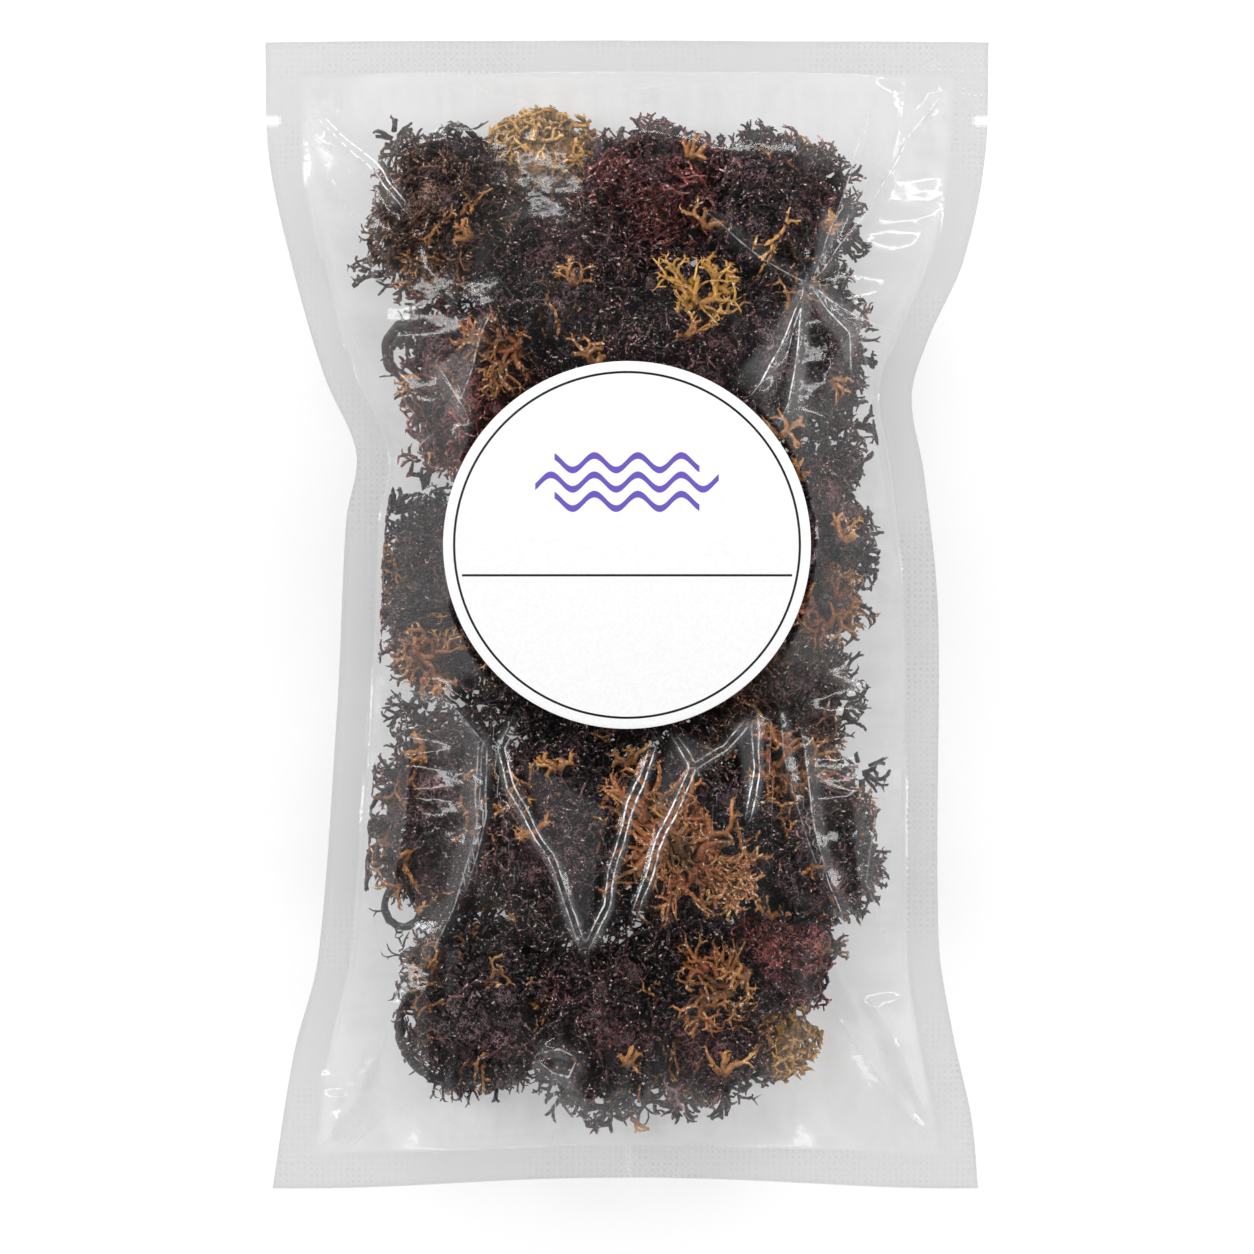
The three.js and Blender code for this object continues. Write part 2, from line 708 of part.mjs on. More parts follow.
const CLEAR_FILM = { color: 0xf2f4f5, roughness: 0.12, metalness: 0, transparent: true, opacity: 0.25 };
const WHITE_PAPER = { color: 0xfafafa, roughness: 0.55, metalness: 0 };
const seaweedLook = (colour) => ({ color: COLOURS[colour], roughness: 0.5, metalness: 0 });

const films = [filmGrid(1), filmGrid(-1)];
const pouch = new THREE.Group();
pouch.add(mesh("pouch_front_film", notchedFilm(films[0]), CLEAR_FILM));
pouch.add(mesh("pouch_back_film", notchedFilm(films[1]), CLEAR_FILM));
pouch.add(mesh("label", labelGeometry(), WHITE_PAPER));

const seaweed = new THREE.Group();
tufts.forEach((tuft, i) => {
  const geometry = tuftGeometry(tuft, 11 + 7 * i);
  seaweed.add(mesh(tuft.name, geometry, seaweedLook(tuft.colour)));
});
fronds.forEach((frond, i) => {
  const geometry = frondGeometry(frond, 401 + 9 * i);
  seaweed.add(mesh(frond.name, geometry, seaweedLook(frond.colour)));
});

const part = new THREE.Group();
part.add(pouch, seaweed);
export default part;
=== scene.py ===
import math

import bpy
import numpy as np
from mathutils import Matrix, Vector


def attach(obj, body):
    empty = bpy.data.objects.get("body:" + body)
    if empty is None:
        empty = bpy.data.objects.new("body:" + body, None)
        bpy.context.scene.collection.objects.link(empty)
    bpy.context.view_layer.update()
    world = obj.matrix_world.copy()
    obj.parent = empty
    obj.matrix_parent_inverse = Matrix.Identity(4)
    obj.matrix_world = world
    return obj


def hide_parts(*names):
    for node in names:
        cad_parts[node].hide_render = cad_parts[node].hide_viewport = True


MM = 0.001
scene = bpy.context.scene

# The pouch and its sticker, as in the part's source
POUCH_WIDTH = 152.4
POUCH_LENGTH = 241.3
SEAL_WIDTH = 7
FILM = 0.4
GAP = 0.3
SEAM_HEIGHT = 12
CORNER_DROOP = 5
SEAM_WAVE = 1.1
BOTTOM_BOW = 2.6
NOTCH_DEPTH = 3
NOTCH_WIDTH = 2.7
NOTCH_Y = 104
LABEL_DIAMETER = 76.2
LABEL_THICKNESS = 0.4
LABEL_CENTRE = (0, 14.5)
LABEL_CROWN = 36.6
LABEL_BEND_RADIUS = 450
LABEL_SKIRT = 1.5
FILM_REACH = 4
FILM_MARGIN = 1
BACK_FILM_LIFT = 0.25
FILM_CEILING = 37.6
TUFT_MIDDLE = 0.46
TUFT_HALF_HEIGHT = 0.54
INTERLOCK = 2.5

LEFT_EDGE = [
    (120.65, -76.2), (96, -75.2), (72, -70), (50, -63.5), (34, -56.8), (20, -58.9),
    (-20, -60.9), (-72, -64.9), (-92, -70), (-120.65, -74.6),
]
RIGHT_EDGE = [
    (120.65, 76.2), (96, 75.2), (74, 70.5), (58, 63.3), (46, 59.8), (30, 62.3),
    (0, 65.3), (-68, 65.4), (-88, 68.5), (-106, 72.5), (-120.65, 73.9),
]

# Tufts: name, colour, centre x and y, half-widths x and y, height of the top
TUFTS = [
    ("tuft_top_left", "brown", -36.5, 82.5, 20.5, 24, 27),
    ("tuft_top_gold", "gold", -16.5, 96.5, 16.5, 11, 22),
    ("tuft_top_middle", "red", 5, 89.5, 22, 17.5, 29),
    ("tuft_top_right", "plum", 29, 84.5, 21, 21, 29),
    ("tuft_upper_middle", "black", -13.5, 69, 27.5, 23, 34),
    ("tuft_upper_left", "red", -31, 47.5, 20, 24, 29),
    ("tuft_upper_centre", "plum", 9.5, 58, 26.5, 23, 34),
    ("tuft_upper_right", "black", 33, 55, 20, 25.5, 28),
    ("tuft_centre", "black", 0, 24.5, 42, 29.5, 33),
    ("tuft_middle_right", "plum", 37.5, 14, 17.5, 29.5, 26),
    ("tuft_middle_left", "black", -36.5, 3, 18.5, 28.5, 26),
    ("tuft_lower_centre", "black", -5, -11, 32, 26.5, 33),
    ("tuft_lower_side", "brown", 30, -19.5, 22, 24, 30),
    ("tuft_lower_left", "plum", -36.5, -42.5, 20.5, 28.5, 27),
    ("tuft_lower_middle", "black", -12.5, -47.5, 26.5, 31, 35),
    ("tuft_lower_fan_bed", "black", 13.5, -46.5, 24, 29.5, 34),
    ("tuft_lower_right", "black", 35.5, -50, 21, 25.5, 29),
    ("tuft_bottom_left", "black", -29, -81, 22, 25.5, 27),
    ("tuft_bottom_middle", "plum", -5, -84.5, 24, 23, 30),
    ("tuft_bottom_right", "plum", 17.5, -82.5, 21, 24, 28),
    ("tuft_bottom_red", "red", 32, -70, 15.5, 18.5, 25),
    ("tuft_bottom_gold", "gold", 31, -88.5, 11, 11, 18),
]

# Fronds on top of a tuft: name, colour, tuft, x, y, depth of their bed, size, heading in degrees
FRONDS = [
    ("frond_upper_left", "amber", "tuft_upper_left", -27, 55, 4.5, 11, 200),
    ("frond_upper_right", "gold", "tuft_upper_centre", 16, 70, 4.5, 11, 80),
    ("frond_middle_right", "amber", "tuft_middle_right", 42, 2, 4.5, 11, 100),
    ("frond_middle_left", "amber", "tuft_middle_left", -41, -10, 4.5, 10, 330),
    ("frond_lower_fan", "amber", "tuft_lower_fan_bed", 12, -47, 6, 20, 100),
    ("frond_lower_side", "amber", "tuft_lower_side", 35, -30, 5, 12, 40),
    ("frond_bottom", "amber", "tuft_bottom_right", 16, -77, 4.5, 12, 170),
]

# Bare stems of a tuft: radius, points
STEMS = {
    "tuft_top_left": [
        (1.0, [(-40, 94, 15), (-38, 101.5, 16), (-33, 101.5, 16), (-30.5, 96, 15), (-33, 88, 14)]),
    ],
    "tuft_upper_left": [
        (1.5, [(-38, 58, 14), (-48, 60.5, 13), (-50, 53, 12), (-42, 46, 13)]),
    ],
    "tuft_lower_left": [
        (1.0, [(-42, -54, 14), (-50, -58, 13), (-50, -64, 12.5), (-44.5, -64.5, 13), (-41, -54, 13)]),
    ],
    "tuft_bottom_left": [
        (1.3, [(-36, -70, 14), (-46, -80, 12.5), (-47, -91, 12), (-38, -98, 12.5), (-30, -92, 13)]),
        (0.9, [(-46, -91, 12), (-40, -88, 13.5), (-32, -84, 14)]),
    ],
}


def unit(v):
    return v / np.maximum(np.linalg.norm(v, axis=-1, keepdims=True), 1e-9)


# Plan of the pouch: across and along it, both from 0 to 1

def along_edge(edge, y):
    """x on a smooth line through (y, x) points that run from high y to low y."""
    ys, xs = np.array(edge, float).T
    i = np.clip(np.searchsorted(-ys, -y, side="right") - 1, 0, len(edge) - 2)
    before = np.maximum(i - 1, 0)
    after = np.minimum(i + 2, len(edge) - 1)
    slope_a = (xs[i + 1] - xs[before]) / (ys[i + 1] - ys[before])
    slope_b = (xs[after] - xs[i]) / (ys[after] - ys[i])
    step = ys[i + 1] - ys[i]
    t = (y - ys[i]) / step
    return (
        xs[i] * (2 * t**3 - 3 * t**2 + 1)
        + slope_a * step * (t**3 - 2 * t**2 + t)
        + xs[i + 1] * (3 * t**2 - 2 * t**3)
        + slope_b * step * (t**3 - t**2)
    )


def bow(across):
    """How far the bottom edge is bowed up."""
    return BOTTOM_BOW * np.sin(np.pi * np.clip(across, 0, 1)) ** 2


def plan_point(across, along):
    y = POUCH_LENGTH / 2 - along * (POUCH_LENGTH - bow(across))
    left = along_edge(LEFT_EDGE, y)
    right = along_edge(RIGHT_EDGE, y)
    return left + (right - left) * across, y


def plan_share(x, y):
    left = along_edge(LEFT_EDGE, y)
    right = along_edge(RIGHT_EDGE, y)
    across = (x - left) / (right - left)
    return across, (POUCH_LENGTH / 2 - y) / (POUCH_LENGTH - bow(across))


def seam_height(x, y):
    """Height of the seam between the films, which droops at the corners and waves a little."""
    outward = np.abs(x) / (POUCH_WIDTH / 2)
    endward = np.abs(y) / (POUCH_LENGTH / 2)
    wave = np.sin(0.085 * y + 0.6 * np.sign(x)) + 0.6 * np.sin(0.11 * x + 1)
    return SEAM_HEIGHT - CORNER_DROOP * outward**2 * endward**4 + SEAM_WAVE * wave


# Cells of the seaweed: each tuft keeps to its ellipsoid and to its side of its neighbours

class Cell:
    def __init__(self, centre, half, walls=()):
        self.centre = np.array(centre, float)
        self.half = np.array(half, float)
        self.walls = list(walls)

    def share(self, points):
        """1 on the cell's surface and 0 at its centre."""
        d = points - self.centre
        share = np.linalg.norm(d / self.half, axis=1)
        for normal, offset in self.walls:
            room = offset - normal @ self.centre
            share = np.maximum(share, (d @ normal) / room)
        return share


cells = {}
for name, colour, x, y, half_x, half_y, top in TUFTS:
    cells[name] = Cell((x, y, top * TUFT_MIDDLE), (half_x, half_y, top * TUFT_HALF_HEIGHT))
for a in cells.values():
    for b in cells.values():
        if a is b:
            continue
        apart = b.centre - a.centre
        distance = np.linalg.norm(apart)
        normal = apart / distance
        radius_a = 1 / np.linalg.norm(normal / a.half)
        radius_b = 1 / np.linalg.norm(normal / b.half)
        middle = normal @ a.centre + distance * radius_a / (radius_a + radius_b)
        a.walls.append((normal, middle + INTERLOCK))

# Each frond's bed: a slice off its tuft, with its middle and the way that it faces
beds = {}
for name, colour, parent, x, y, depth, size, heading in FRONDS:
    tuft = cells[parent]
    px = (x - tuft.centre[0]) / tuft.half[0]
    py = (y - tuft.centre[1]) / tuft.half[1]
    pz = math.sqrt(1 - px * px - py * py)
    surface = np.array([x, y, tuft.centre[2] + tuft.half[2] * pz])
    normal = unit(np.array([px, py, pz]) / tuft.half)
    offset = normal @ surface - depth
    beds[name] = (surface - normal * depth / 2, normal)
    tuft.walls.append((normal, offset))


# Films: a taut sheet over the lumps, then the folds and creases that light catches on

def from_label(x, y):
    return np.hypot(x - LABEL_CENTRE[0], y - LABEL_CENTRE[1])


def label_height(r):
    """Height of the bent sticker's underside at r from its middle."""
    return LABEL_CROWN - r * r / (2 * LABEL_BEND_RADIUS)


def lump(x, y, side):
    """Height of the filling that a film lies on, from the front with side 1 or the back with -1."""
    height = np.full(x.shape, -1e9)
    for cell in cells.values():
        px = (x - cell.centre[0]) / (cell.half[0] + FILM_REACH)
        py = (y - cell.centre[1]) / (cell.half[1] + FILM_REACH)
        inside = np.maximum(1 - px**2 - py**2, 0)
        bump = side * cell.centre[2] + (cell.half[2] + FILM_MARGIN) * np.sqrt(inside)
        height = np.maximum(height, np.where(inside > 0, bump, -1e9))
    return height


def edge_distance(x, y):
    """Distance in plan to the pouch's nearest edge, roughly."""
    left = x - along_edge(LEFT_EDGE, y)
    right = along_edge(RIGHT_EDGE, y) - x
    across, _ = plan_share(x, y)
    bottom = y + POUCH_LENGTH / 2 - bow(across)
    return np.minimum(np.minimum(left, right) * 0.97, np.minimum(POUCH_LENGTH / 2 - y, bottom))


def read_grid(grid, row, column):
    """Values of a grid at places given as rows and columns."""
    j = np.minimum(row.astype(int), grid.shape[0] - 2)
    i = np.minimum(column.astype(int), grid.shape[1] - 2)
    v = row - j
    u = column - i
    above = grid[j, i] * (1 - u) + grid[j, i + 1] * u
    below = grid[j + 1, i] * (1 - u) + grid[j + 1, i + 1] * u
    return above * (1 - v) + below * v


def relaxed(across_count, along_count, side, start):
    """A sheet pulled taut over the filling, from a coarser grid's heights or from flat."""
    across, along = np.meshgrid(
        np.linspace(0, 1, across_count + 1), np.linspace(0, 1, along_count + 1)
    )
    x, y = plan_point(across, along)
    rest = side * seam_height(x, y) + (GAP + FILM) / 2
    low = lump(x, y, side)
    high = np.full(x.shape, 1e9)
    if side > 0:
        r = from_label(x, y)
        crown = label_height(r)
        low = np.where(r < LABEL_DIAMETER / 2 + LABEL_SKIRT, crown, low)
        high = np.where(r < LABEL_DIAMETER / 2 + 12, crown, high)
    else:
        high = np.full(x.shape, -BACK_FILM_LIFT)
    away = edge_distance(x, y) - SEAL_WIDTH
    low = np.minimum(low, rest + 0.5 + 1.5 * np.maximum(away, 0))
    sealed = away <= 0
    low = np.where(sealed, rest, np.minimum(low, high))
    high = np.where(sealed, rest, high)
    height = rest.copy()
    if start is not None:
        rows = np.linspace(0, start.shape[0] - 1, x.shape[0])[:, None]
        columns = np.linspace(0, start.shape[1] - 1, x.shape[1])[None, :]
        height = np.clip(read_grid(start, rows, columns), low, high)
    for _ in range(400):
        inner = (
            height[:-2, 1:-1] + height[2:, 1:-1] + height[1:-1, :-2] + height[1:-1, 2:]
        ) / 4
        height[1:-1, 1:-1] = np.clip(inner, low[1:-1, 1:-1], high[1:-1, 1:-1])
    return x, y, height


def value_noise(x, y, scale, seed):
    """Smooth noise from -1 to 1 with lumps of about that scale."""
    table = np.random.default_rng(seed).uniform(-1, 1, (64, 64))
    u = x / scale + 500.3
    v = y / scale + 500.7
    i = np.floor(u).astype(int)
    j = np.floor(v).astype(int)
    u, v = (f * f * (3 - 2 * f) for f in (u - i, v - j))
    above, below = (
        table[row % 64, i % 64] * (1 - u) + table[row % 64, (i + 1) % 64] * u for row in (j, j + 1)
    )
    return above * (1 - v) + below * v


LUMPS = np.random.default_rng(77).uniform(-1, 1, (32, 32, 32))


def lumps(points, scale):
    """Smooth noise from -1 to 1 in space."""
    p = points / scale + 1000.3
    i = np.floor(p).astype(int)
    f = p - i
    f = f * f * (3 - 2 * f)
    total = np.zeros(len(points))
    for corner in range(8):
        o = np.array([corner & 1, corner >> 1 & 1, corner >> 2])
        weight = np.prod(np.where(o, f, 1 - f), axis=1)
        a, b, c = ((i + o) % 32).T
        total += weight * LUMPS[a, b, c]
    return total


def to_line(x, y, points):
    """Signed distance in plan to a line through points, and how far along that line from 0 to 1."""
    best = np.full(x.shape, 1e9)
    place = np.zeros(x.shape)
    total = sum(math.dist(a, b) for a, b in zip(points, points[1:]))
    run = 0.0
    for (ax, ay), (bx, by) in zip(points, points[1:]):
        length = math.dist((ax, ay), (bx, by))
        t = np.clip(((x - ax) * (bx - ax) + (y - ay) * (by - ay)) / length**2, 0, 1)
        d = np.hypot(x - ax - t * (bx - ax), y - ay - t * (by - ay))
        d = np.where((x - ax) * (by - ay) < (y - ay) * (bx - ax), -d, d)
        nearer = np.abs(d) < np.abs(best)
        best = np.where(nearer, d, best)
        place = np.where(nearer, (run + t * length) / total, place)
        run += length
    return best, place


# Folds of the front film: height, width, brightness of their painted highlight, points. The brightest are
# double lines of beads
DOUBLE_FROM = 0.85
FOLDS = [
    (1.0, 1.6, 0.9, [(-66, 106), (-58, 99), (-51, 92), (-46, 84)]),
    (0.6, 1.4, 0.4, [(-70, 104), (-62, 92), (-56, 80), (-52, 66)]),
    (0.6, 1.5, 0.3, [(-74, 90), (-66, 76), (-60, 60), (-56, 44)]),
    (0.5, 1.4, 0.3, [(-70, 78), (-62, 66), (-54, 52)]),
    (0.7, 1.3, 0.75, [(38, 68.5), (50, 84), (62, 104), (68, 112)]),
    (0.7, 1.3, 0.5, [(38, 68.5), (45, 88), (52, 106)]),
    (0.8, 1.2, 0.8, [(38, 68.5), (33, 58), (28, 48), (22, 40)]),
    (0.7, 1.2, 0.75, [(37, 68.5), (36, 56), (34, 44), (30, 36)]),
    (0.7, 1.2, 0.6, [(38, 68.5), (48, 62), (58, 58)]),
    (0.5, 1.0, 0.6, [(38, 68.5), (46, 58), (47, 50)]),
    (0.5, 1.2, 0.4, [(38, 68.5), (28, 74), (16, 84)]),
    (1.0, 0.9, 1.0, [(-23, -20), (-26, -28), (-24, -36), (-16, -50), (-12, -62), (-9, -70)]),
    (1.0, 0.9, 1.0, [(-9, -70), (-4, -60), (-1, -46), (3, -34), (6, -24)]),
    (0.9, 0.9, 1.0, [(9, -24), (13, -32), (9, -42), (5, -52), (2, -62)]),
    (0.8, 0.9, 0.9, [(13, -32), (20, -28), (25, -22)]),
    (0.9, 0.9, 1.0, [(26, -21), (27, -32), (25, -42)]),
    (0.7, 1.5, 0.4, [(-50, -14), (-38, -17), (-31, -26), (-31, -42), (-36, -60), (-42, -76)]),
    (0.7, 1.3, 0.4, [(-47, -16), (-36, -19), (-29, -28), (-29, -42), (-34, -58)]),
    (0.8, 1.2, 0.5, [(36, -24), (38, -40), (42, -56), (45, -66)]),
    (0.7, 1.2, 0.3, [(31, -20), (34, -36), (40, -54)]),
    (0.8, 1.3, 0.7, [(-20, -92), (-16, -95), (-12, -96), (-10, -92), (-14, -90), (-19, -91)]),
    (0.7, 1.3, 0.4, [(-16, -97), (-15, -106), (-17, -114)]),
    (0.6, 1.6, 0.4, [(0, -106), (4, -110), (8, -106)]),
    (0.7, 1.4, 0.4, [(44, -84), (52, -96), (60, -106), (66, -113)]),
    (0.6, 1.4, 0.3, [(50, -80), (57, -92), (63, -104)]),
    (0.6, 1.5, 0.4, [(-66, -114), (-58, -104), (-52, -92), (-48, -82)]),
    (0.5, 1.4, 0.3, [(-60, -114), (-50, -104), (-38, -100)]),
    (0.5, 1.6, 0.3, [(-40, 112), (-24, 109), (0, 110), (24, 113)]),
    (0.5, 1.4, 0.3, [(10, 114), (4, 108), (0, 104)]),
    (0.5, 1.4, 0.4, [(56, 20), (52, 36), (50, 52), (48, 62)]),
    (0.5, 1.3, 0.3, [(-56, 20), (-50, 30), (-40, 38)]),
    (0.7, 1.3, 0.5, [(-40, 52), (-34, 44), (-30, 34)]),
    (0.6, 1.3, 0.5, [(-28, 64), (-32, 52), (-36, 42)]),
    (0.5, 1.3, 0.3, [(58, -30), (52, -40), (50, -56), (54, -70)]),
    (0.5, 1.3, 0.3, [(-60, -40), (-54, -52), (-52, -66)]),
]

# Pressed pleats, which look like pale wedges: painted reflection of their facets. How pale, and three
# corners
WEDGES = [
    (0.12, (37, 69), (21, 46), (30, 44)),
    (0.13, (37, 69), (33, 40), (38, 38)),
    (0.2, (37, 69), (50, 62), (46, 52)),
    (0.14, (37, 69), (41, 84), (45, 80)),
    (0.1, (37, 69), (47, 88), (54, 92)),
    (0.08, (-46, 84), (-64, 106), (-58, 110)),
    (0.1, (-30, 34), (-41, 50), (-34, 56)),
    (0.07, (5, -42), (9, -24), (18, -28)),
    (0.06, (-9, -70), (-22, -30), (-4, -40)),
    (0.12, (25, -42), (22, -22), (28, -22)),
    (0.08, (-35, -58), (-30, -24), (-27, -30)),
    (0.1, (-14, -90), (-8, -104), (-20, -104)),
    (0.08, (44, -84), (60, -108), (66, -104)),
    (0.08, (-48, -84), (-64, -112), (-58, -114)),
    (0.07, (2, -98), (-6, -112), (10, -112)),
]

# Crumple of both films: size of its lumps, height, seed
CRUMPLE = [(26, 0.35, 21), (13, 0.17, 22), (6.5, 0.06, 23)]


def in_triangle(x, y, corners):
    """1 inside a triangle, fading to 0 over a millimetre outside it."""
    middle = np.mean(corners, axis=0)
    most = np.full(x.shape, -1e9)
    for (ax, ay), (bx, by) in zip(corners, corners[1:] + corners[:1]):
        across, along = by - ay, ax - bx
        length = math.hypot(across, along)
        if (middle[0] - ax) * across + (middle[1] - ay) * along > 0:
            length = -length
        most = np.maximum(most, ((x - ax) * across + (y - ay) * along) / length)
    return np.clip(0.5 - most, 0, 1)


def film_grid(across_count, along_count, side):
    """x, y and z of a film's grid, its whiteness, which holds painted highlights, painted shade and some
    milkiness, and the nearest fold's distance, brightness and kind.
    """
    start = None
    for shrink in (8, 4, 2, 1):
        x, y, height = relaxed(across_count // shrink, along_count // shrink, side, start)
        start = height
    away = edge_distance(x, y) - SEAL_WIDTH
    free = np.clip(away / 4, 0, 1)
    r = from_label(x, y)
    if side > 0:
        free = free * np.clip((r - LABEL_DIAMETER / 2 - LABEL_SKIRT) / 5, 0, 1)
    white, move, glint, double = np.zeros((4, *x.shape))
    gap = np.full(x.shape, 9.0)
    # Pleats that run in from the seals, with painted highlights on their ridges
    round_edge = np.where(np.abs(x) / 70 > np.abs(y) / 118, y, x)
    apart = np.sign(x + 200 * (np.abs(y) > 100)) * 40
    pleat = value_noise(round_edge, away * 0.12 + apart, 7, 5 + side)
    pleat += 0.6 * value_noise(round_edge, away * 0.1, 3.1, 9 + side)
    ridge = 1 - np.abs(pleat) * 2.2
    near = np.exp(-np.maximum(away, 0) / 13) * np.clip(away / 2.5, 0, 1)
    move += 0.75 * ridge * near
    white += 0.5 * np.clip(ridge - 0.62, 0, 1) * near
    # Crumple: sharp small ridges over all of the free film, the sharpest with a faint painted highlight
    for scale, size, seed in CRUMPLE:
        fold = 1 - 2 * np.abs(value_noise(x + 0.4 * y, y, scale, seed + 7 * (side < 0)))
        move += size * fold
        white += 0.05 * np.clip(fold - 0.8, 0, 1)
    if side > 0:
        wander_x = x + 0.8 * value_noise(x, y, 8, 41)
        wander_y = y + 0.8 * value_noise(x, y, 8, 42)
        for size, width, bright, points in FOLDS:
            d, place = to_line(wander_x, wander_y, points)
            taper = np.clip(np.sin(np.pi * np.clip(place, 0.02, 0.98)) * 3, 0, 1)
            crest = np.exp(-((d / width) ** 2)) + 0.5 * np.exp(-((d / (3.5 * width)) ** 2))
            move += size * crest * taper
            # A soft painted highlight along each fold
            white += 0.12 * bright * np.exp(-((d / (1.2 * width)) ** 2)) * taper
            nearer = np.abs(d) < np.abs(gap)
            gap = np.where(nearer, d, gap)
            glint = np.where(nearer, taper * bright, glint)
            double = np.where(nearer, bright > DOUBLE_FROM, double)
        # Painted reflection on the pressed pleats, as pale wedges
        for paleness, *corners in WEDGES:
            white += 1.6 * paleness * in_triangle(wander_x, wander_y, corners)
    # Painted shade and sheen: steep spots get more of the whitish layer, less so where the film lies on the
    # filling
    slope = np.hypot(*np.gradient(move)) * 1.25
    over_filling = np.clip((lump(x, y, side) - 10) / 5, 0, 1)
    white += (0.3 - 0.26 * over_filling) * np.clip(slope - 0.06, 0, 0.5) * np.clip(away / 3, 0, 1)
    height = height + move * free * (1 if side > 0 else 0.4)
    if side < 0:
        height = np.minimum(height, -BACK_FILM_LIFT)
    else:
        height = np.minimum(height, np.where(r < LABEL_DIAMETER / 2 + 2, label_height(r), FILM_CEILING))
    return x, y, side * height, white * free, gap, glint * free, double * 1.0


def height_on(grid, x, y):
    """Height of a film at points of the plan."""
    rows, columns = grid[2].shape
    across, along = plan_share(x, y)
    column = np.clip(across * (columns - 1), 0, columns - 1.001)
    row = np.clip(along * (rows - 1), 0, rows - 1.001)
    return read_grid(grid[2], row, column)


front = film_grid(176, 280, 1)
back = film_grid(96, 152, -1)


SEAL_CLEARANCE = 1.5
FRONT_CLEARANCE = 0.45
BACK_CLEARANCE = 0.3


def between_films(points, radius):
    """Moves points so that balls of that radius round them are between the films."""
    made = points.copy()
    clear = SEAL_WIDTH + SEAL_CLEARANCE
    left = along_edge(LEFT_EDGE, points[:, 1]) + clear
    right = along_edge(RIGHT_EDGE, points[:, 1]) - clear
    made[:, 0] = np.clip(points[:, 0], left, right)
    made[:, 1] = np.clip(points[:, 1], clear + 3 - POUCH_LENGTH / 2, POUCH_LENGTH / 2 - clear)
    most = height_on(front, made[:, 0], made[:, 1]) - FRONT_CLEARANCE - radius
    least = height_on(back, made[:, 0], made[:, 1]) + BACK_CLEARANCE + radius
    made[:, 2] = np.clip(points[:, 2], least, np.maximum(most, least))
    return made


# Meshes

def make_object(name, vertices, faces, layers=()):
    """A smooth object from millimetre vertices, faces of one length, and values of its vertices."""
    mesh = bpy.data.meshes.new(name)
    vertices = np.asarray(vertices, np.float32) * MM
    faces = np.asarray(faces, np.int32)
    mesh.vertices.add(len(vertices))
    mesh.vertices.foreach_set("co", vertices.ravel())
    mesh.loops.add(faces.size)
    mesh.loops.foreach_set("vertex_index", faces.ravel())
    mesh.polygons.add(len(faces))
    mesh.polygons.foreach_set("loop_start", np.arange(0, faces.size, faces.shape[1], dtype=np.int32))
    mesh.update(calc_edges=True)
    mesh.polygons.foreach_set("use_smooth", np.ones(len(faces), bool))
    for key in layers:
        layer = mesh.attributes.new(key, "FLOAT", "POINT")
        layer.data.foreach_set("value", np.asarray(layers[key], np.float32).ravel())
    made = bpy.data.objects.new(name, mesh)
    scene.collection.objects.link(made)
    return made


def numbers(rows, columns):
    return np.arange(rows * columns).reshape(rows, columns)


def quads(index):
    """Quads of a grid of vertex numbers."""
    corners = index[:-1, :-1], index[1:, :-1], index[1:, 1:], index[:-1, 1:]
    return np.stack(corners, -1).reshape(-1, 4)


def round_quads(index):
    """Quads of a grid whose last column meets its first."""
    return quads(np.concatenate([index, index[:, :1]], 1))


def fan(count, first=0):
    """Triangles that close a ring of points, of which the first has that number."""
    k = np.arange(1, count - 1)
    return np.stack([0 * k, k, k + 1], 1) + first


class Growth:
    """Collects the tubes of one piece: vertices, triangles, lightness and gilding, and place on a branch."""

    def __init__(self):
        self.parts = []
        self.count = 0

    def add(self, vertices, faces, tone, tip):
        self.parts.append((vertices, faces + self.count, tone, tip))
        self.count += len(vertices)

    def piece(self, node, colour):
        vertices, faces, tone, tip = (np.concatenate(column) for column in zip(*self.parts))
        layers = {"tone": tone[:, 0], "gild": tone[:, 1], "tip": tip}
        made = make_object("moss_" + node, vertices, faces, layers)
        seaweed.objects.link(made)
        place_piece(made, node, moss_materials[colour])


def ring_of(P, D, N, width, flat, sides):
    """Points of a flattened ring round each point of P, across D."""
    side = unit(np.cross(D, N))
    up = np.cross(side, D)
    angle = np.arange(sides) * 2 * np.pi / sides + 0.5
    return (
        P[:, None]
        + side[:, None] * (np.cos(angle)[None, :, None] * width[:, None, None] / 2)
        + up[:, None] * (np.sin(angle)[None, :, None] * (width * flat)[:, None, None] / 2)
    )


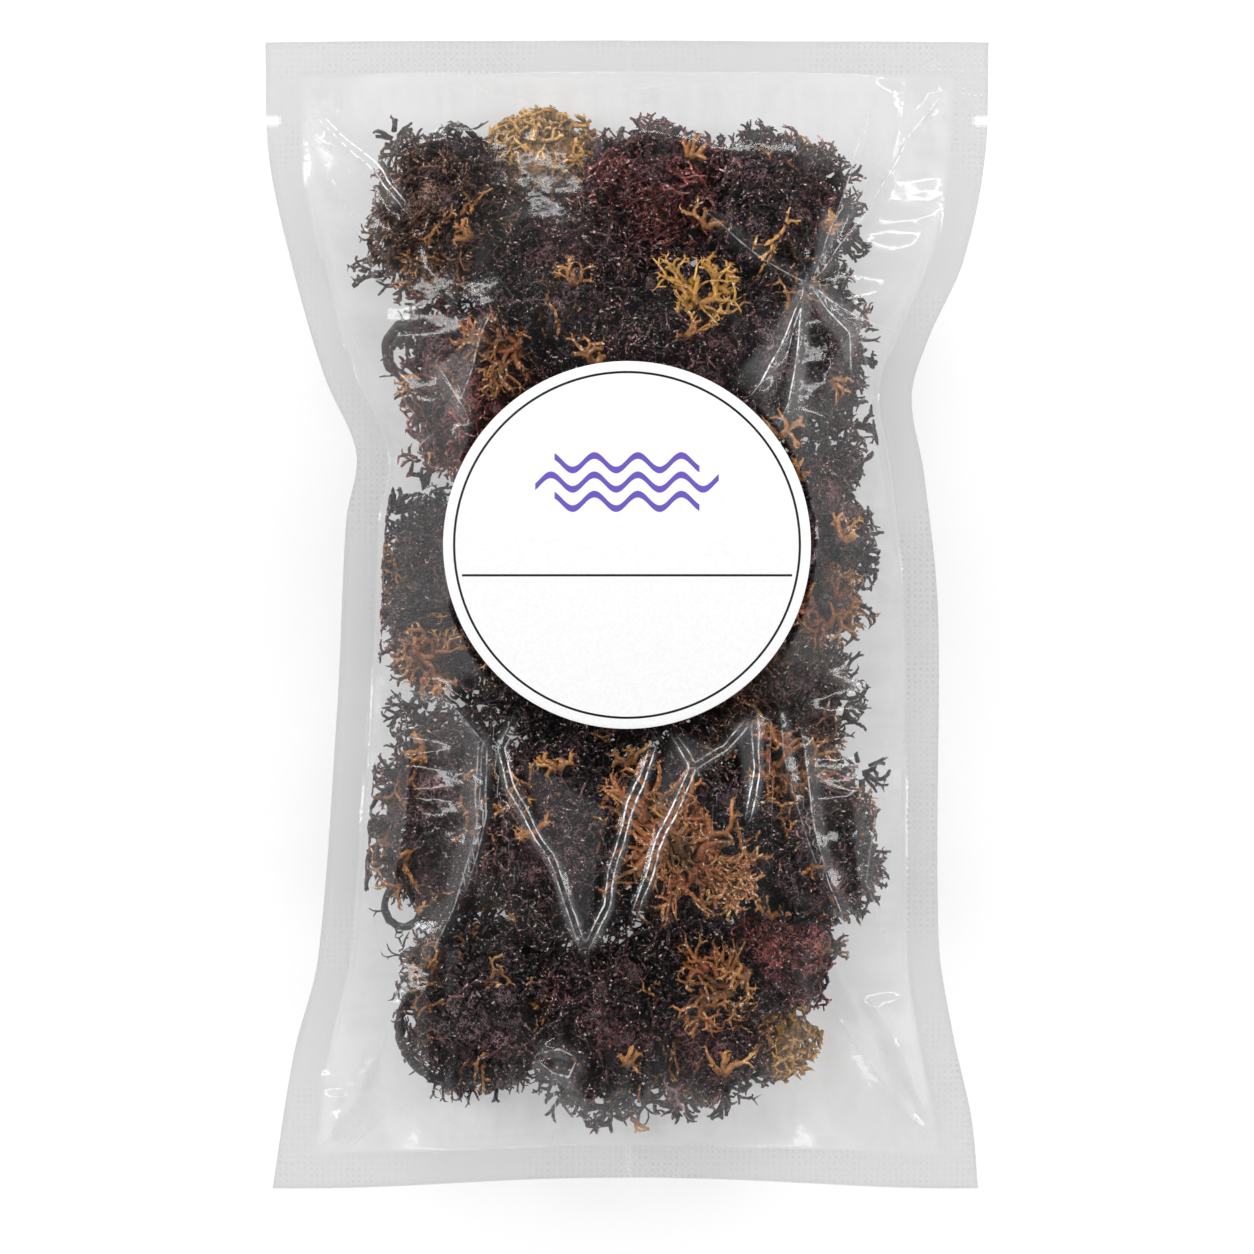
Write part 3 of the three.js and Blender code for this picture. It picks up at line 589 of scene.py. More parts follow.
def grow(growth, cell, P, D, N, width, tone, rng, steps, step, spread, jitter, sides,
         flat, narrow, prune, planar=0.0, spikes=0.06, own=(0.78, 1.03)):
    """Grows tubes that fork as they go, all at once, until they are at the cell's lumpy surface.

    P, D and N are each tube's place, heading and flat side, and tone its lightness and gilding.
    They turn by about jitter a step, fork by an angle in spread, narrow by a factor and end with
    the chance prune. Planar ones keep to their flat side. own is each tube's share of the cell.
    """
    level = np.zeros(len(P))
    own = rng.uniform(*own, len(P))
    curl = rng.normal(0, 0.27, (len(P), 3)) * (1 - planar)
    bend = rng.normal(0, 0.13, len(P)) * planar
    ring = ring_of(P, D, N, width, flat, sides)
    for i in range(steps):
        count = len(P)
        if count == 0:
            return
        outward = unit((P - cell.centre) / cell.half**2)
        turn = rng.normal(0, jitter, (count, 3)) + curl + np.cross(D, N) * bend[:, None]
        if planar:
            turn -= N * np.sum(turn * N, axis=1, keepdims=True) * planar
        D = unit(D + turn + outward * 0.12 * (1 - planar))
        Q = P + D * (step * rng.uniform(0.7, 1.3, count))[:, None]
        share = cell.share(Q)
        limit = own * (1 if planar else 0.93 + 0.13 * lumps(Q, 7.5))
        over = share > limit
        scale = np.where(over, limit / share, 1)[:, None]
        Q = cell.centre + (Q - cell.centre) * scale
        Q = between_films(Q, width / 2)
        along = Q - P
        short = np.linalg.norm(along, axis=1) < 0.25
        Q = np.where(short[:, None], P + D * 0.4, Q)
        roll = rng.normal(0, 0.2, (count, 3)) * (1 - planar)
        N = unit(N - D * np.sum(N * D, axis=1, keepdims=True) + roll)
        ends = over | short | (rng.random(count) < prune * (i > 1)) | (i == steps - 1)
        new_width = width * narrow
        new_ring = ring_of(Q, D, N, new_width * rng.uniform(0.85, 1.15, count), flat, sides)
        centre = new_ring.mean(1, keepdims=True)
        new_ring = np.where(ends[:, None, None], centre + (new_ring - centre) * 0.75, new_ring)
        base = np.arange(count)[:, None] * 2 * sides
        near = np.arange(sides)[None]
        after = (near + 1) % sides
        low = np.stack([base + near, base + after, base + sides + after], -1)
        high = np.stack([base + near, base + sides + after, base + sides + near], -1)
        faces = [low.reshape(-1, 3), high.reshape(-1, 3)]
        cap = base[ends][:, :1] + sides
        for k in range(1, sides - 1):
            faces.append(np.concatenate([cap, cap + k, cap + k + 1], 1))
        if i == 0:
            first = base[:, :1]
            for k in range(1, sides - 1):
                faces.append(np.concatenate([first, first + k + 1, first + k], 1))
        both = np.concatenate([ring, new_ring], 1).reshape(-1, 3)
        depth = np.repeat(np.stack([level, level + 1], 1), sides, axis=1).reshape(-1) / steps
        tones = np.repeat(tone, 2 * sides, axis=0)
        if not planar:
            # Painted shade: darker towards the cell's middle, where the branches shade each other
            inside = np.repeat(np.stack([cell.share(P), cell.share(Q)], 1), sides, axis=1).reshape(-1)
            tones[:, 0] -= 0.75 * np.clip(0.86 - inside, 0, 0.5)
        growth.add(both, np.concatenate(faces), tones, depth)
        if spikes:
            some = rng.random(count) < spikes * (1 + 2 * ends) * (i > 1)
            add_spikes(growth, Q[some], D[some], N[some], new_width[some], tone[some], rng)
        keep = ~ends
        P, D, N, width, tone, ring, level, own, curl, bend = (
            v[keep] for v in (Q, D, N, new_width, tone, new_ring, level + 1, own, curl, bend)
        )
        if i % 2 and len(P):
            side = unit(np.cross(D, N))
            tilt = N * rng.normal(0, 0.35 * (1 - planar), (len(P), 1))
            lean = rng.uniform(*spread, len(P))[:, None]
            one = unit(D * np.cos(lean) + (side + tilt) * np.sin(lean))
            lean = rng.uniform(*spread, len(P))[:, None]
            other = unit(D * np.cos(lean) - (side + tilt) * np.sin(lean))
            turned = unit(N + side * rng.normal(0, 0.9, (len(P), 1)) * (1 - planar))
            D = np.concatenate([one, other])
            N = np.concatenate([turned, turned])
            P = np.concatenate([P, P])
            width = np.concatenate([width, width]) * 0.9
            tone = np.concatenate([tone, tone])
            tone[:, 0] += rng.normal(0, 0.05, len(P))
            level = np.concatenate([level, level])
            own = np.concatenate([own, own]) * rng.uniform(0.97, 1.03, len(P))
            curl = np.concatenate([curl, -curl])
            bend = np.concatenate([bend, -bend])
            # Each branch begins with a ring of its own, sunk in the fork
            ring = ring_of(P - D * width[:, None] * 0.3, D, N, width, flat, sides)


def add_spikes(growth, P, D, N, width, tone, rng):
    """Small three-sided branchlets."""
    if not len(P):
        return
    side = unit(np.cross(D, N)) * np.where(rng.random(len(P)) < 0.5, 1, -1)[:, None]
    way = unit(side + D * rng.uniform(0.2, 1.1, (len(P), 1)) + N * rng.normal(0, 0.5, (len(P), 1)))
    length = rng.uniform(0.7, 1.6, len(P))
    end = between_films(P + way * length[:, None], np.full(len(P), 0.2))
    foot = ring_of(P, unit(end - P), unit(N + 0.3 * D), width * 0.75, 0.8, 3)
    vertices = np.concatenate([foot, end[:, None]], 1).reshape(-1, 3)
    base = np.arange(len(P))[:, None] * 4
    faces = np.concatenate([base + np.array([row]) for row in ([0, 1, 3], [1, 2, 3], [2, 0, 3])])
    tip = np.tile([0.6, 0.6, 0.6, 1.0], len(P))
    growth.add(vertices, faces, np.repeat(tone, 4, axis=0), tip)


def add_core(growth, cell, size, tone):
    """A lumpy inner mass that closes the view between the branches. Its low tone is painted shade, the
    darkness deep inside a tuft.
    """
    rows, columns = 22, 36
    theta = np.linspace(0.04, np.pi - 0.04, rows)[:, None]
    phi = np.linspace(0, 2 * np.pi, columns, endpoint=False)[None]
    ball = np.stack(
        [np.sin(theta) * np.cos(phi), np.sin(theta) * np.sin(phi), np.cos(theta) + 0 * phi], -1
    ).reshape(-1, 3)
    direction = ball * cell.half
    share = cell.share(cell.centre + direction)
    P = cell.centre + direction * (size / share)[:, None]
    swell = 1 + 0.2 * lumps(P, 4.5) + 0.12 * lumps(P + 40, 2)
    P = cell.centre + (P - cell.centre) * swell[:, None]
    P = between_films(P, np.full(len(P), 2.0))
    sheet = round_quads(numbers(rows, columns))
    foot = fan(columns, (rows - 1) * columns)
    faces = np.concatenate([sheet[:, [0, 1, 3]], sheet[:, [3, 1, 2]], fan(columns), foot[:, ::-1]])
    growth.add(P, faces, np.tile([tone, 0.0], (len(P), 1)), np.zeros(len(P)))


def smooth_line(points, step):
    """Points about a step apart on a smooth line through others."""
    points = np.array(points, float)
    ends = np.concatenate([[2 * points[0] - points[1]], points, [2 * points[-1] - points[-2]]])
    path = []
    for k in range(1, len(ends) - 2):
        a, b, c, d = ends[k - 1:k + 3]
        count = max(int(np.linalg.norm(c - b) / step), 2)
        t = np.linspace(0, 1, count, endpoint=k == len(ends) - 3)[:, None]
        square = 2 * a - 5 * b + 4 * c - d
        cube = 3 * b - 3 * c + d - a
        path.append(0.5 * (2 * b + (c - a) * t + square * t**2 + cube * t**3))
    return np.concatenate(path)


def tube_through(growth, points, radius, tone, rng, sides=6):
    """A wrinkled stem along a smooth line through points."""
    P = smooth_line(points, 1.1)
    P = P + rng.normal(0, 0.12, P.shape)
    D = unit(np.gradient(P, axis=0))
    N = unit(np.cross(D, np.array([0.2, 0.1, 1.0])))
    width = 2 * radius * rng.uniform(0.8, 1.15, len(P))
    ring = ring_of(P, D, N, width, 0.8, sides)
    ring += rng.normal(0, 0.07, ring.shape)
    sheet = round_quads(numbers(len(P), sides))
    end = fan(sides, (len(P) - 1) * sides)
    faces = np.concatenate([sheet[:, [0, 3, 2]], sheet[:, [0, 2, 1]], fan(sides)[:, ::-1], end])
    tones = np.tile([tone, 0.0], (len(P) * sides, 1))
    growth.add(ring.reshape(-1, 3), faces, tones, np.full(len(P) * sides, 0.3))
    return P, D, N


# Materials

class Nodes:
    """The nodes of a material or of the world, with short calls for the sums behind its colours."""

    def __init__(self, tree):
        self.tree = tree
        tree.nodes.clear()

    def put(self, socket, value):
        """Gives a socket a number or a colour, or links another socket to it."""
        if isinstance(value, bpy.types.NodeSocket):
            self.tree.links.new(value, socket)
        elif isinstance(value, tuple):
            socket.default_value = (*value, 1)
        else:
            socket.default_value = value

    def add(self, kind, **inputs):
        node = self.tree.nodes.new("ShaderNode" + kind)
        for key, value in inputs.items():
            self.put(node.inputs[key.replace("_", " ")], value)
        return node

    def maths(self, kind, a, b=0.0, clamp=False):
        node = self.add("Math")
        node.operation = kind
        node.use_clamp = clamp
        self.put(node.inputs[0], a)
        self.put(node.inputs[1], b)
        return node.outputs[0]

    def plus(self, a, b, clamp=False):
        return self.maths("ADD", a, b, clamp)

    def minus(self, a, b, clamp=False):
        return self.maths("SUBTRACT", a, b, clamp)

    def times(self, a, b, clamp=False):
        return self.maths("MULTIPLY", a, b, clamp)

    def magnitude(self, a):
        return self.maths("ABSOLUTE", a)

    def mixed(self, factor, a, b, blend="MIX"):
        node = self.add("Mix")
        node.data_type = "RGBA"
        node.blend_type = blend
        for socket, value in ((node.inputs[0], factor), (node.inputs[6], a), (node.inputs[7], b)):
            self.put(socket, value)
        return node.outputs[2]

    def ramp(self, source, *stops):
        """A colour ramp, whose stops are a place and a colour or a grey."""
        node = self.add("ValToRGB")
        self.put(node.inputs[0], source)
        elements = node.color_ramp.elements
        while len(elements) < len(stops):
            elements.new(0.5)
        for element, (place, colour) in zip(elements, stops):
            element.position = place
            element.color = (*colour, 1) if isinstance(colour, tuple) else (colour, colour, colour, 1)
        return node.outputs[0]

    def place(self):
        return self.add("TexCoord").outputs["Object"]

    def noise(self, scale, detail, roughness):
        noise = self.add("TexNoise", Scale=scale, Detail=detail, Roughness=roughness, Vector=self.place())
        return noise.outputs["Fac"]

    def attribute(self, name):
        node = self.add("Attribute")
        node.attribute_name = name
        return node.outputs["Fac"]

    def bump(self, height, strength, distance):
        return self.add("Bump", Strength=strength, Distance=distance, Height=height).outputs["Normal"]

    def either(self, factor, a, b):
        """A mix of two shaders."""
        node = self.add("MixShader")
        for socket, value in zip(node.inputs, (factor, a.outputs[0], b.outputs[0])):
            self.put(socket, value)
        return node

    def shade(self, shader):
        self.add("OutputMaterial", Surface=shader.outputs[0])


def new_material(name):
    material = bpy.data.materials.new(name)
    material.use_nodes = True
    return material, Nodes(material.node_tree)


def linear(code):
    """Linear colour of a hex code."""
    parts = [((code >> shift) & 255) / 255 for shift in (16, 8, 0)]
    return tuple(v / 12.92 if v <= 0.04045 else ((v + 0.055) / 1.055) ** 2.4 for v in parts)


# Colours from dark to pale: the darkest carry the painted shade deep inside a tuft, the palest are reached
# at the tips
MOSS = {
    "black": (0x060405, 0x21171a, 0x65494d, 0xc4a8a8),
    "plum": (0x0c0608, 0x371f23, 0x7e4f52, 0xcca4a4),
    "red": (0x140808, 0x5e2828, 0xa65a54, 0xd8aaa0),
    "brown": (0x100a07, 0x42281e, 0x8a5e4a, 0xccb09e),
    "amber": (0x3a2410, 0x80552c, 0xb88c58, 0xe4c698),
    "gold": (0x5c4016, 0xac803c, 0xd8b06c, 0xf2daa8),
}
MOSS_STOPS = (0.04, 0.42, 0.72, 0.95)
GILDING = ((0.0, 0x4a2a14), (0.4, 0x8f6033), (0.9, 0xc89a5a))
# Colour of the painted glints on the tips
GLINT_FLECK = (0.62, 0.5, 0.42)

# Each dark colour has patches of another, and the golden ones have rust
PATCHES = {"black": "plum", "plum": "black", "red": "plum", "brown": "black"}
RUST = {"amber": 0x8e3d20, "gold": 0x96601f}


def moss_material(colour):
    material, nodes = new_material("moss_" + colour)
    tone = nodes.attribute("tone")
    tip = nodes.attribute("tip")
    broad = nodes.noise(110.0, 3.0, 0.6)
    fine = nodes.noise(900.0, 4.0, 0.65)
    amount = nodes.plus(nodes.times(tip, 0.42), tone)
    amount = nodes.plus(amount, nodes.times(broad, 0.5))
    amount = nodes.plus(amount, nodes.times(fine, 0.35))
    # Between the branches the inner mass shows as a lace of thinner ones
    wander = nodes.mixed(0.004, nodes.place(), fine.node.outputs["Color"], "ADD")
    lace = nodes.add("TexVoronoi", Scale=620.0, Vector=wander)
    lace.feature = "DISTANCE_TO_EDGE"
    thread = nodes.ramp(lace.outputs["Distance"], (0.02, 1), (0.16, 0))
    thread = nodes.times(thread, nodes.times(tone, -1.6, clamp=True))
    amount = nodes.plus(amount, nodes.times(thread, 1.6))
    amount = nodes.minus(amount, 0.44, clamp=True)

    def shades(name):
        return nodes.ramp(amount, *zip(MOSS_STOPS, map(linear, MOSS[name])))

    base = shades(colour)
    if colour in RUST:
        rusty = nodes.ramp(broad, (0.42, 0), (0.62, 1))
        base = nodes.mixed(nodes.times(rusty, 0.3), base, linear(RUST[colour]))
    else:
        where = nodes.ramp(nodes.noise(48.0, 3.0, 0.6), (0.47, 0), (0.56, 0.85))
        base = nodes.mixed(where, base, shades(PATCHES[colour]))
        gilding = nodes.ramp(amount, *((place, linear(code)) for place, code in GILDING))
        base = nodes.mixed(nodes.attribute("gild"), base, gilding)
    # Painted glints: pale specks on the tips
    glint_specks = nodes.ramp(nodes.noise(1500.0, 1.0, 0.5), (0.62, 0), (0.68, 1))
    base = nodes.mixed(nodes.times(glint_specks, nodes.times(tip, 0.85)), base, GLINT_FLECK)
    shader = nodes.add(
        "BsdfPrincipled",
        Base_Color=base,
        Specular_IOR_Level=0.3,
        Roughness=nodes.ramp(fine, (0.3, 0.2), (0.7, 0.5)),
        Normal=nodes.bump(nodes.plus(fine, nodes.times(thread, 1.5)), 0.55, 0.0004),
    )
    nodes.shade(shader)
    return material


CLEAR = (0.892, 0.893, 0.895)
HAZE = 0.018


def film_material(name):
    """Clear film: it passes most light and mirrors a little. A whitish diffuse layer shows its real haze,
    seal and crimp, and also painted highlights along creases and painted shade and sheen at steep spots.
    """
    material, nodes = new_material(name)
    seal = nodes.attribute("seal")
    speck = nodes.noise(260.0, 2.0, 0.7)
    cloud = nodes.noise(26.0, 2.0, 0.55)
    # Crimp of the seal: fine dots in rows
    dots = nodes.add("TexVoronoi", Scale=780.0, Randomness=0.25, Vector=nodes.place())
    dot = nodes.ramp(dots.outputs["Distance"], (0.18, 1), (0.42, 0))
    patch = nodes.ramp(cloud, (0.45, 0), (0.66, 1))
    crimp = nodes.times(nodes.times(dot, patch), seal)
    # Painted highlight: a thin bright line along each of the creases, or two beaded ones along the
    # brightest, for the light that their crests mirror
    wobble = nodes.times(nodes.minus(speck, 0.5), 0.5)
    distance = nodes.plus(nodes.magnitude(nodes.attribute("gap")), wobble)
    off_line = nodes.magnitude(nodes.minus(distance, nodes.times(nodes.attribute("double"), 0.65)))
    line = nodes.ramp(off_line, (0.06, 1), (0.24, 0))
    beads = nodes.ramp(nodes.noise(700.0, 2.0, 0.6), (0.4, 0.3), (0.54, 1))
    fade = nodes.ramp(cloud, (0.36, 0.15), (0.54, 1))
    crease_highlight = nodes.times(nodes.times(line, beads), nodes.attribute("glint"))
    crease_highlight = nodes.times(crease_highlight, fade, clamp=True)
    amount = nodes.plus(nodes.times(nodes.attribute("white"), 0.5), crease_highlight)
    amount = nodes.plus(amount, nodes.times(crimp, 0.16))
    amount = nodes.plus(amount, nodes.times(seal, 0.05))
    amount = nodes.plus(amount, nodes.ramp(cloud, (0.5, 0), (0.8, HAZE)), clamp=True)
    # Both sides mirror alike: a little face on, and all at a grazing angle
    grazing = nodes.add("LayerWeight", Blend=0.5).outputs["Facing"]
    shine = nodes.plus(nodes.times(nodes.maths("POWER", grazing, 5.0), 0.8), 0.052, clamp=True)
    relief = nodes.bump(nodes.plus(speck, nodes.times(crimp, 1.2)), 0.3, 0.0003)
    clear = nodes.add("BsdfTransparent", Color=CLEAR)
    gloss = nodes.add("BsdfGlossy", Roughness=0.11, Color=(1, 1, 1), Normal=relief)
    # The whitish diffuse layer: white under the painted highlight lines, grey elsewhere, so it is both the
    # film's milkiness and painted shade and sheen
    milk_and_painted_light = nodes.add("BsdfDiffuse", Color=nodes.mixed(crease_highlight, (0.5, 0.5, 0.505), (1.0, 1.0, 1.0)))
    nodes.shade(nodes.either(amount, nodes.either(shine, clear, gloss), milk_and_painted_light))
    return material


# Sticker print in millimetres: ring and bar in black, waves in purple
RING_RADIUS = 35.8
RING_HALF = 0.24
BAR_Y = -6.3
BAR_REACH = 34.2
WAVE_LENGTH = 9
WAVE_HEIGHT = 1.5
WAVE_HALF = 0.7
WAVES = [(9.0, 15), (13.0, 19), (17.0, 15)]
BLACK_INK = (0.006, 0.006, 0.007)
PURPLE_INK = linear(0x6a55b8)


def label_material():
    """White paper with a plain black ring, a dividing line and a small wave ornament."""
    material, nodes = new_material("label_paper")
    split = nodes.add("SeparateXYZ", Vector=nodes.place())
    x = nodes.minus(split.outputs[0], LABEL_CENTRE[0] * MM)
    y = nodes.minus(split.outputs[1], LABEL_CENTRE[1] * MM)
    radius = nodes.maths("SQRT", nodes.plus(nodes.times(x, x), nodes.times(y, y)))

    def stripe(value, middle, half):
        away = nodes.magnitude(nodes.minus(value, middle * MM))
        return nodes.maths("LESS_THAN", away, half * MM)

    ring = stripe(radius, RING_RADIUS, RING_HALF)
    bar = nodes.times(stripe(y, BAR_Y, RING_HALF), stripe(x, 0, BAR_REACH))
    ink = nodes.maths("MAXIMUM", ring, bar)
    turn = nodes.times(x, 2 * math.pi / (WAVE_LENGTH * MM))
    level = nodes.minus(y, nodes.times(nodes.maths("SINE", turn), WAVE_HEIGHT * MM))
    purple = 0.0
    for line, reach in WAVES:
        band = nodes.times(stripe(level, line, WAVE_HALF), stripe(x, 0, reach))
        purple = nodes.maths("MAXIMUM", purple, band)
    fibre = nodes.noise(1500.0, 3.0, 0.6)
    paper = nodes.ramp(fibre, (0.3, (0.86, 0.86, 0.865)), (0.7, 0.93))
    colour = nodes.mixed(ink, nodes.mixed(purple, paper, PURPLE_INK), BLACK_INK)
    shader = nodes.add(
        "BsdfPrincipled", Roughness=0.5, Base_Color=colour, Normal=nodes.bump(fibre, 0.1, 0.0001)
    )
    nodes.shade(shader)
    return material


def place_piece(made, node, material):
    made.data.materials.append(material)
    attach(made, "root")
    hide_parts(node)


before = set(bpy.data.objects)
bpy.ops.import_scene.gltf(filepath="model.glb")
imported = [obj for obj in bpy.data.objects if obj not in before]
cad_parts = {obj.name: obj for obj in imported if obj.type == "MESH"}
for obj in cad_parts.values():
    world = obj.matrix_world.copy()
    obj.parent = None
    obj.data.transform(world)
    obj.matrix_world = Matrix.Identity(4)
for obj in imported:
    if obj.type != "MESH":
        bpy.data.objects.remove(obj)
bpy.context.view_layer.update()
moss_materials = {colour: moss_material(colour) for colour in MOSS}
seaweed = bpy.data.collections.new("seaweed")
scene.collection.children.link(seaweed)


# The seaweed

TONE = {"black": 0.0, "plum": 0.03, "red": 0.06, "brown": 0.02, "amber": 0.02, "gold": 0.08}
GILDED = {"black": 0.45, "plum": 0.55, "red": 0.5, "brown": 0.6, "gold": 0}
SEED_AREA = 21

# The middle of a tuft: its share of the cell and its tone, which is low for painted shade
DARK_CORE = (0.66, -0.5)
CORE = {"gold": (0.58, -0.3)}

# Small sprigs that stand out of a tuft's side: x, y, z, radius, seeds
SPRIGS = {
    "tuft_top_left": [(-46, 97, 14, 7, 9), (-47, 70, 12, 6, 6), (-49, 100, 13, 6, 9), (-53, 72, 12.5, 6, 9)],
    "tuft_upper_left": [(-41, 66, 14, 8, 14), (-43, 33, 13, 6, 7), (-46, 60, 13, 6, 9)],
    "tuft_middle_left": [
        (-42, 25, 13, 7.5, 12), (-50, 8, 12, 6, 7), (-44, -20, 13, 8, 14), (-49, 21, 13, 7, 12),
    ],
    "tuft_lower_left": [(-51, -48, 13, 6.5, 9), (-42, -21, 14, 8, 12), (-53, -53, 12.5, 6, 9)],
    "tuft_bottom_middle": [(-4, -103, 13, 8, 14), (6, -102, 13, 7, 10), (12, -101, 13, 7, 12)],
    "tuft_bottom_right": [(21, -101, 13, 7.5, 12), (26, -97, 13, 7, 12)],
    "tuft_middle_right": [(47, 40, 13, 8, 12), (46, 31, 13, 7, 12), (48, 10, 13, 6, 9)],
    "tuft_upper_right": [(48, 55, 12, 6.5, 8), (36, 72, 15, 8, 14), (43, 36, 15, 8, 14)],
    "tuft_top_right": [(46, 79, 13, 7, 9), (16, 76, 20, 8, 14)],
    "tuft_lower_right": [(49, -33, 13, 7, 9), (52, -51, 12, 6, 7)],
    "tuft_lower_side": [(46, -12, 13, 7, 9)],
    "tuft_lower_middle": [(-20, -20, 22, 8, 10), (-15, -70, 22, 8, 12)],
    "tuft_lower_fan_bed": [(8, -68, 22, 8, 12)],
    "tuft_upper_middle": [(-17, 86, 16, 9, 22), (-17, 93, 9, 9, 18), (-29, 83, 16, 8, 14)],
    "tuft_bottom_left": [(-14, -100, 13, 7, 12)],
    "tuft_lower_centre": [(-30, -26, 16, 8, 14), (22, -24, 16, 8, 14)],
    "tuft_top_middle": [(4, 77, 20, 8, 14)],
}

# Golden blades among the dark ones: x, y, size, heading in degrees
BITS = {
    "tuft_top_right": [(16, 84, 6.5, 90), (42, 82, 3.5, 30)],
    "tuft_upper_centre": [(13, 60, 5, 60)],
    "tuft_upper_middle": [(-8, 55, 6.5, 110), (-11, 71, 5, 80)],
    "tuft_top_middle": [(14, 98, 5.5, 60)],
    "tuft_upper_right": [(44, 47, 5, 300), (33, 40, 6, 60)],
    "tuft_bottom_right": [(20, -92, 7, 80), (3, -104, 5, 20), (24, -76, 5, 240)],
    "tuft_lower_middle": [(-15, -30, 4.5, 100), (-20, -44, 4, 150)],
    "tuft_lower_fan_bed": [(0, -28, 6, 100)],
    "tuft_bottom_red": [(30, -61, 4.5, 70)],
    "tuft_top_left": [(-34, 80, 4, 120)],
    "tuft_middle_right": [(46, 18, 5, 60), (36, 30, 4, 90)],
    "tuft_lower_left": [(-44, -28, 4, 200)],
    "tuft_bottom_middle": [(0, -92, 4, 70)],
}

# Fans of a frond: lean from its heading, half spread, blades, reach, and its root along and across
SMALL_FROND = [
    (0.0, 0.8, 4, 1.0, -0.55, 0.0), (0.8, 0.5, 3, 0.55, -0.1, 0.2), (-0.8, 0.5, 3, 0.55, 0.0, -0.2),
    (2.7, 0.6, 3, 0.5, -0.3, 0.05), (-1.9, 0.4, 2, 0.5, -0.2, -0.1),
]
LARGE_FROND = [
    (0.1, 0.6, 4, 1.0, -0.2, 0.05), (-0.95, 0.45, 3, 0.8, -0.25, -0.1), (1.1, 0.5, 4, 0.8, -0.2, 0.2),
    (0.35, 0.4, 3, 0.7, 0.25, 0.35), (math.pi + 0.6, 0.5, 4, 0.55, -0.25, -0.05),
    (math.pi + 1.3, 0.4, 3, 0.6, -0.2, -0.1), (math.pi - 0.3, 0.35, 3, 0.5, -0.3, 0.1),
    (0.3, 0.6, 4, 0.5, -0.15, 0.1), (-0.7, 0.5, 3, 0.5, 0.05, 0.15), (1.6, 0.6, 4, 0.5, 0.1, -0.3),
    (2.4, 0.5, 3, 0.5, 0.2, -0.1), (-2.1, 0.5, 4, 0.5, 0.1, 0.3), (0.9, 0.5, 3, 0.45, -0.45, 0.0),
]
LARGE_SIZE = 15


def add_sprigs(growth, name, rng):
    for x, y, z, radius, count in SPRIGS.get(name, []):
        sprig = Cell((x, y, z), (radius, radius, radius * 0.9))
        D = unit(rng.normal(0, 1, (count, 3)) * (1, 1, 0.8))
        P = sprig.centre + D * rng.uniform(0.5, 2.5, (count, 1))
        N = unit(np.cross(D, rng.normal(0, 1, (count, 3))))
        tone = np.tile([0.02, 0.0], (count, 1))
        tone[:, 0] += rng.normal(0, 0.08, count)
        grow(
            growth, sprig, P, D, N, rng.uniform(1.2, 1.8, count), tone, rng, steps=7, step=1.35,
            spread=(0.4, 0.85), jitter=0.24, sides=3, flat=0.62, narrow=0.94, prune=0.05,
        )


def add_bits(growth, name, cell, rng):
    for x, y, size, heading in BITS.get(name, []):
        flat = ((x - cell.centre[0]) / cell.half[0]) ** 2 + ((y - cell.centre[1]) / cell.half[1]) ** 2
        top = cell.centre[2] + cell.half[2] * math.sqrt(max(1 - flat, 0.02))
        place = np.array([[x, y, top]])
        place[0, 2] = min(top, height_on(front, place[:, 0], place[:, 1])[0] - 1.6)
        blade = Cell(place[0], (size, size, 2.2))
        angle = math.radians(heading) + np.array([-0.5, 0.1, 0.6])
        D = np.stack([np.cos(angle), np.sin(angle), np.zeros(3)], 1)
        P = place - D[1:2] * size * 0.6 + D * 0.4
        N = np.tile([0.0, 0.0, 1.0], (3, 1)) + rng.normal(0, 0.15, (3, 3))
        tone = np.stack([rng.normal(0.1, 0.06, 3), np.ones(3)], 1)
        grow(
            growth, blade, P, D, unit(N), rng.uniform(1.2, 2.1, 3), tone, rng, steps=7,
            step=1.3 * size / 7, spread=(0.3, 0.8), jitter=0.28, sides=4, flat=0.45, narrow=0.92,
            prune=0.1, planar=0.5, spikes=0.2, own=(0.8, 1.0),
        )


def add_stems(growth, name, cell, rng):
    """Bare stems, each with a few side twigs."""
    for radius, points in STEMS.get(name, []):
        line, along, across = tube_through(growth, points, radius, -0.02, rng)
        some = np.arange(3, len(line) - 3, 4)
        count = len(some)
        way = np.where(rng.random(count) < 0.5, 1, -1)[:, None]
        D = unit(np.cross(along[some], across[some]) * 0.4 + across[some] * way)
        grow(
            growth, Cell(cell.centre, cell.half * 1.6), line[some], D, along[some], np.full(count, 0.9),
            np.tile([0.02, 0.0], (count, 1)), rng, steps=4, step=1.1, spread=(0.4, 0.8), jitter=0.25,
            sides=3, flat=0.7, narrow=0.88, prune=0.1, spikes=0,
        )


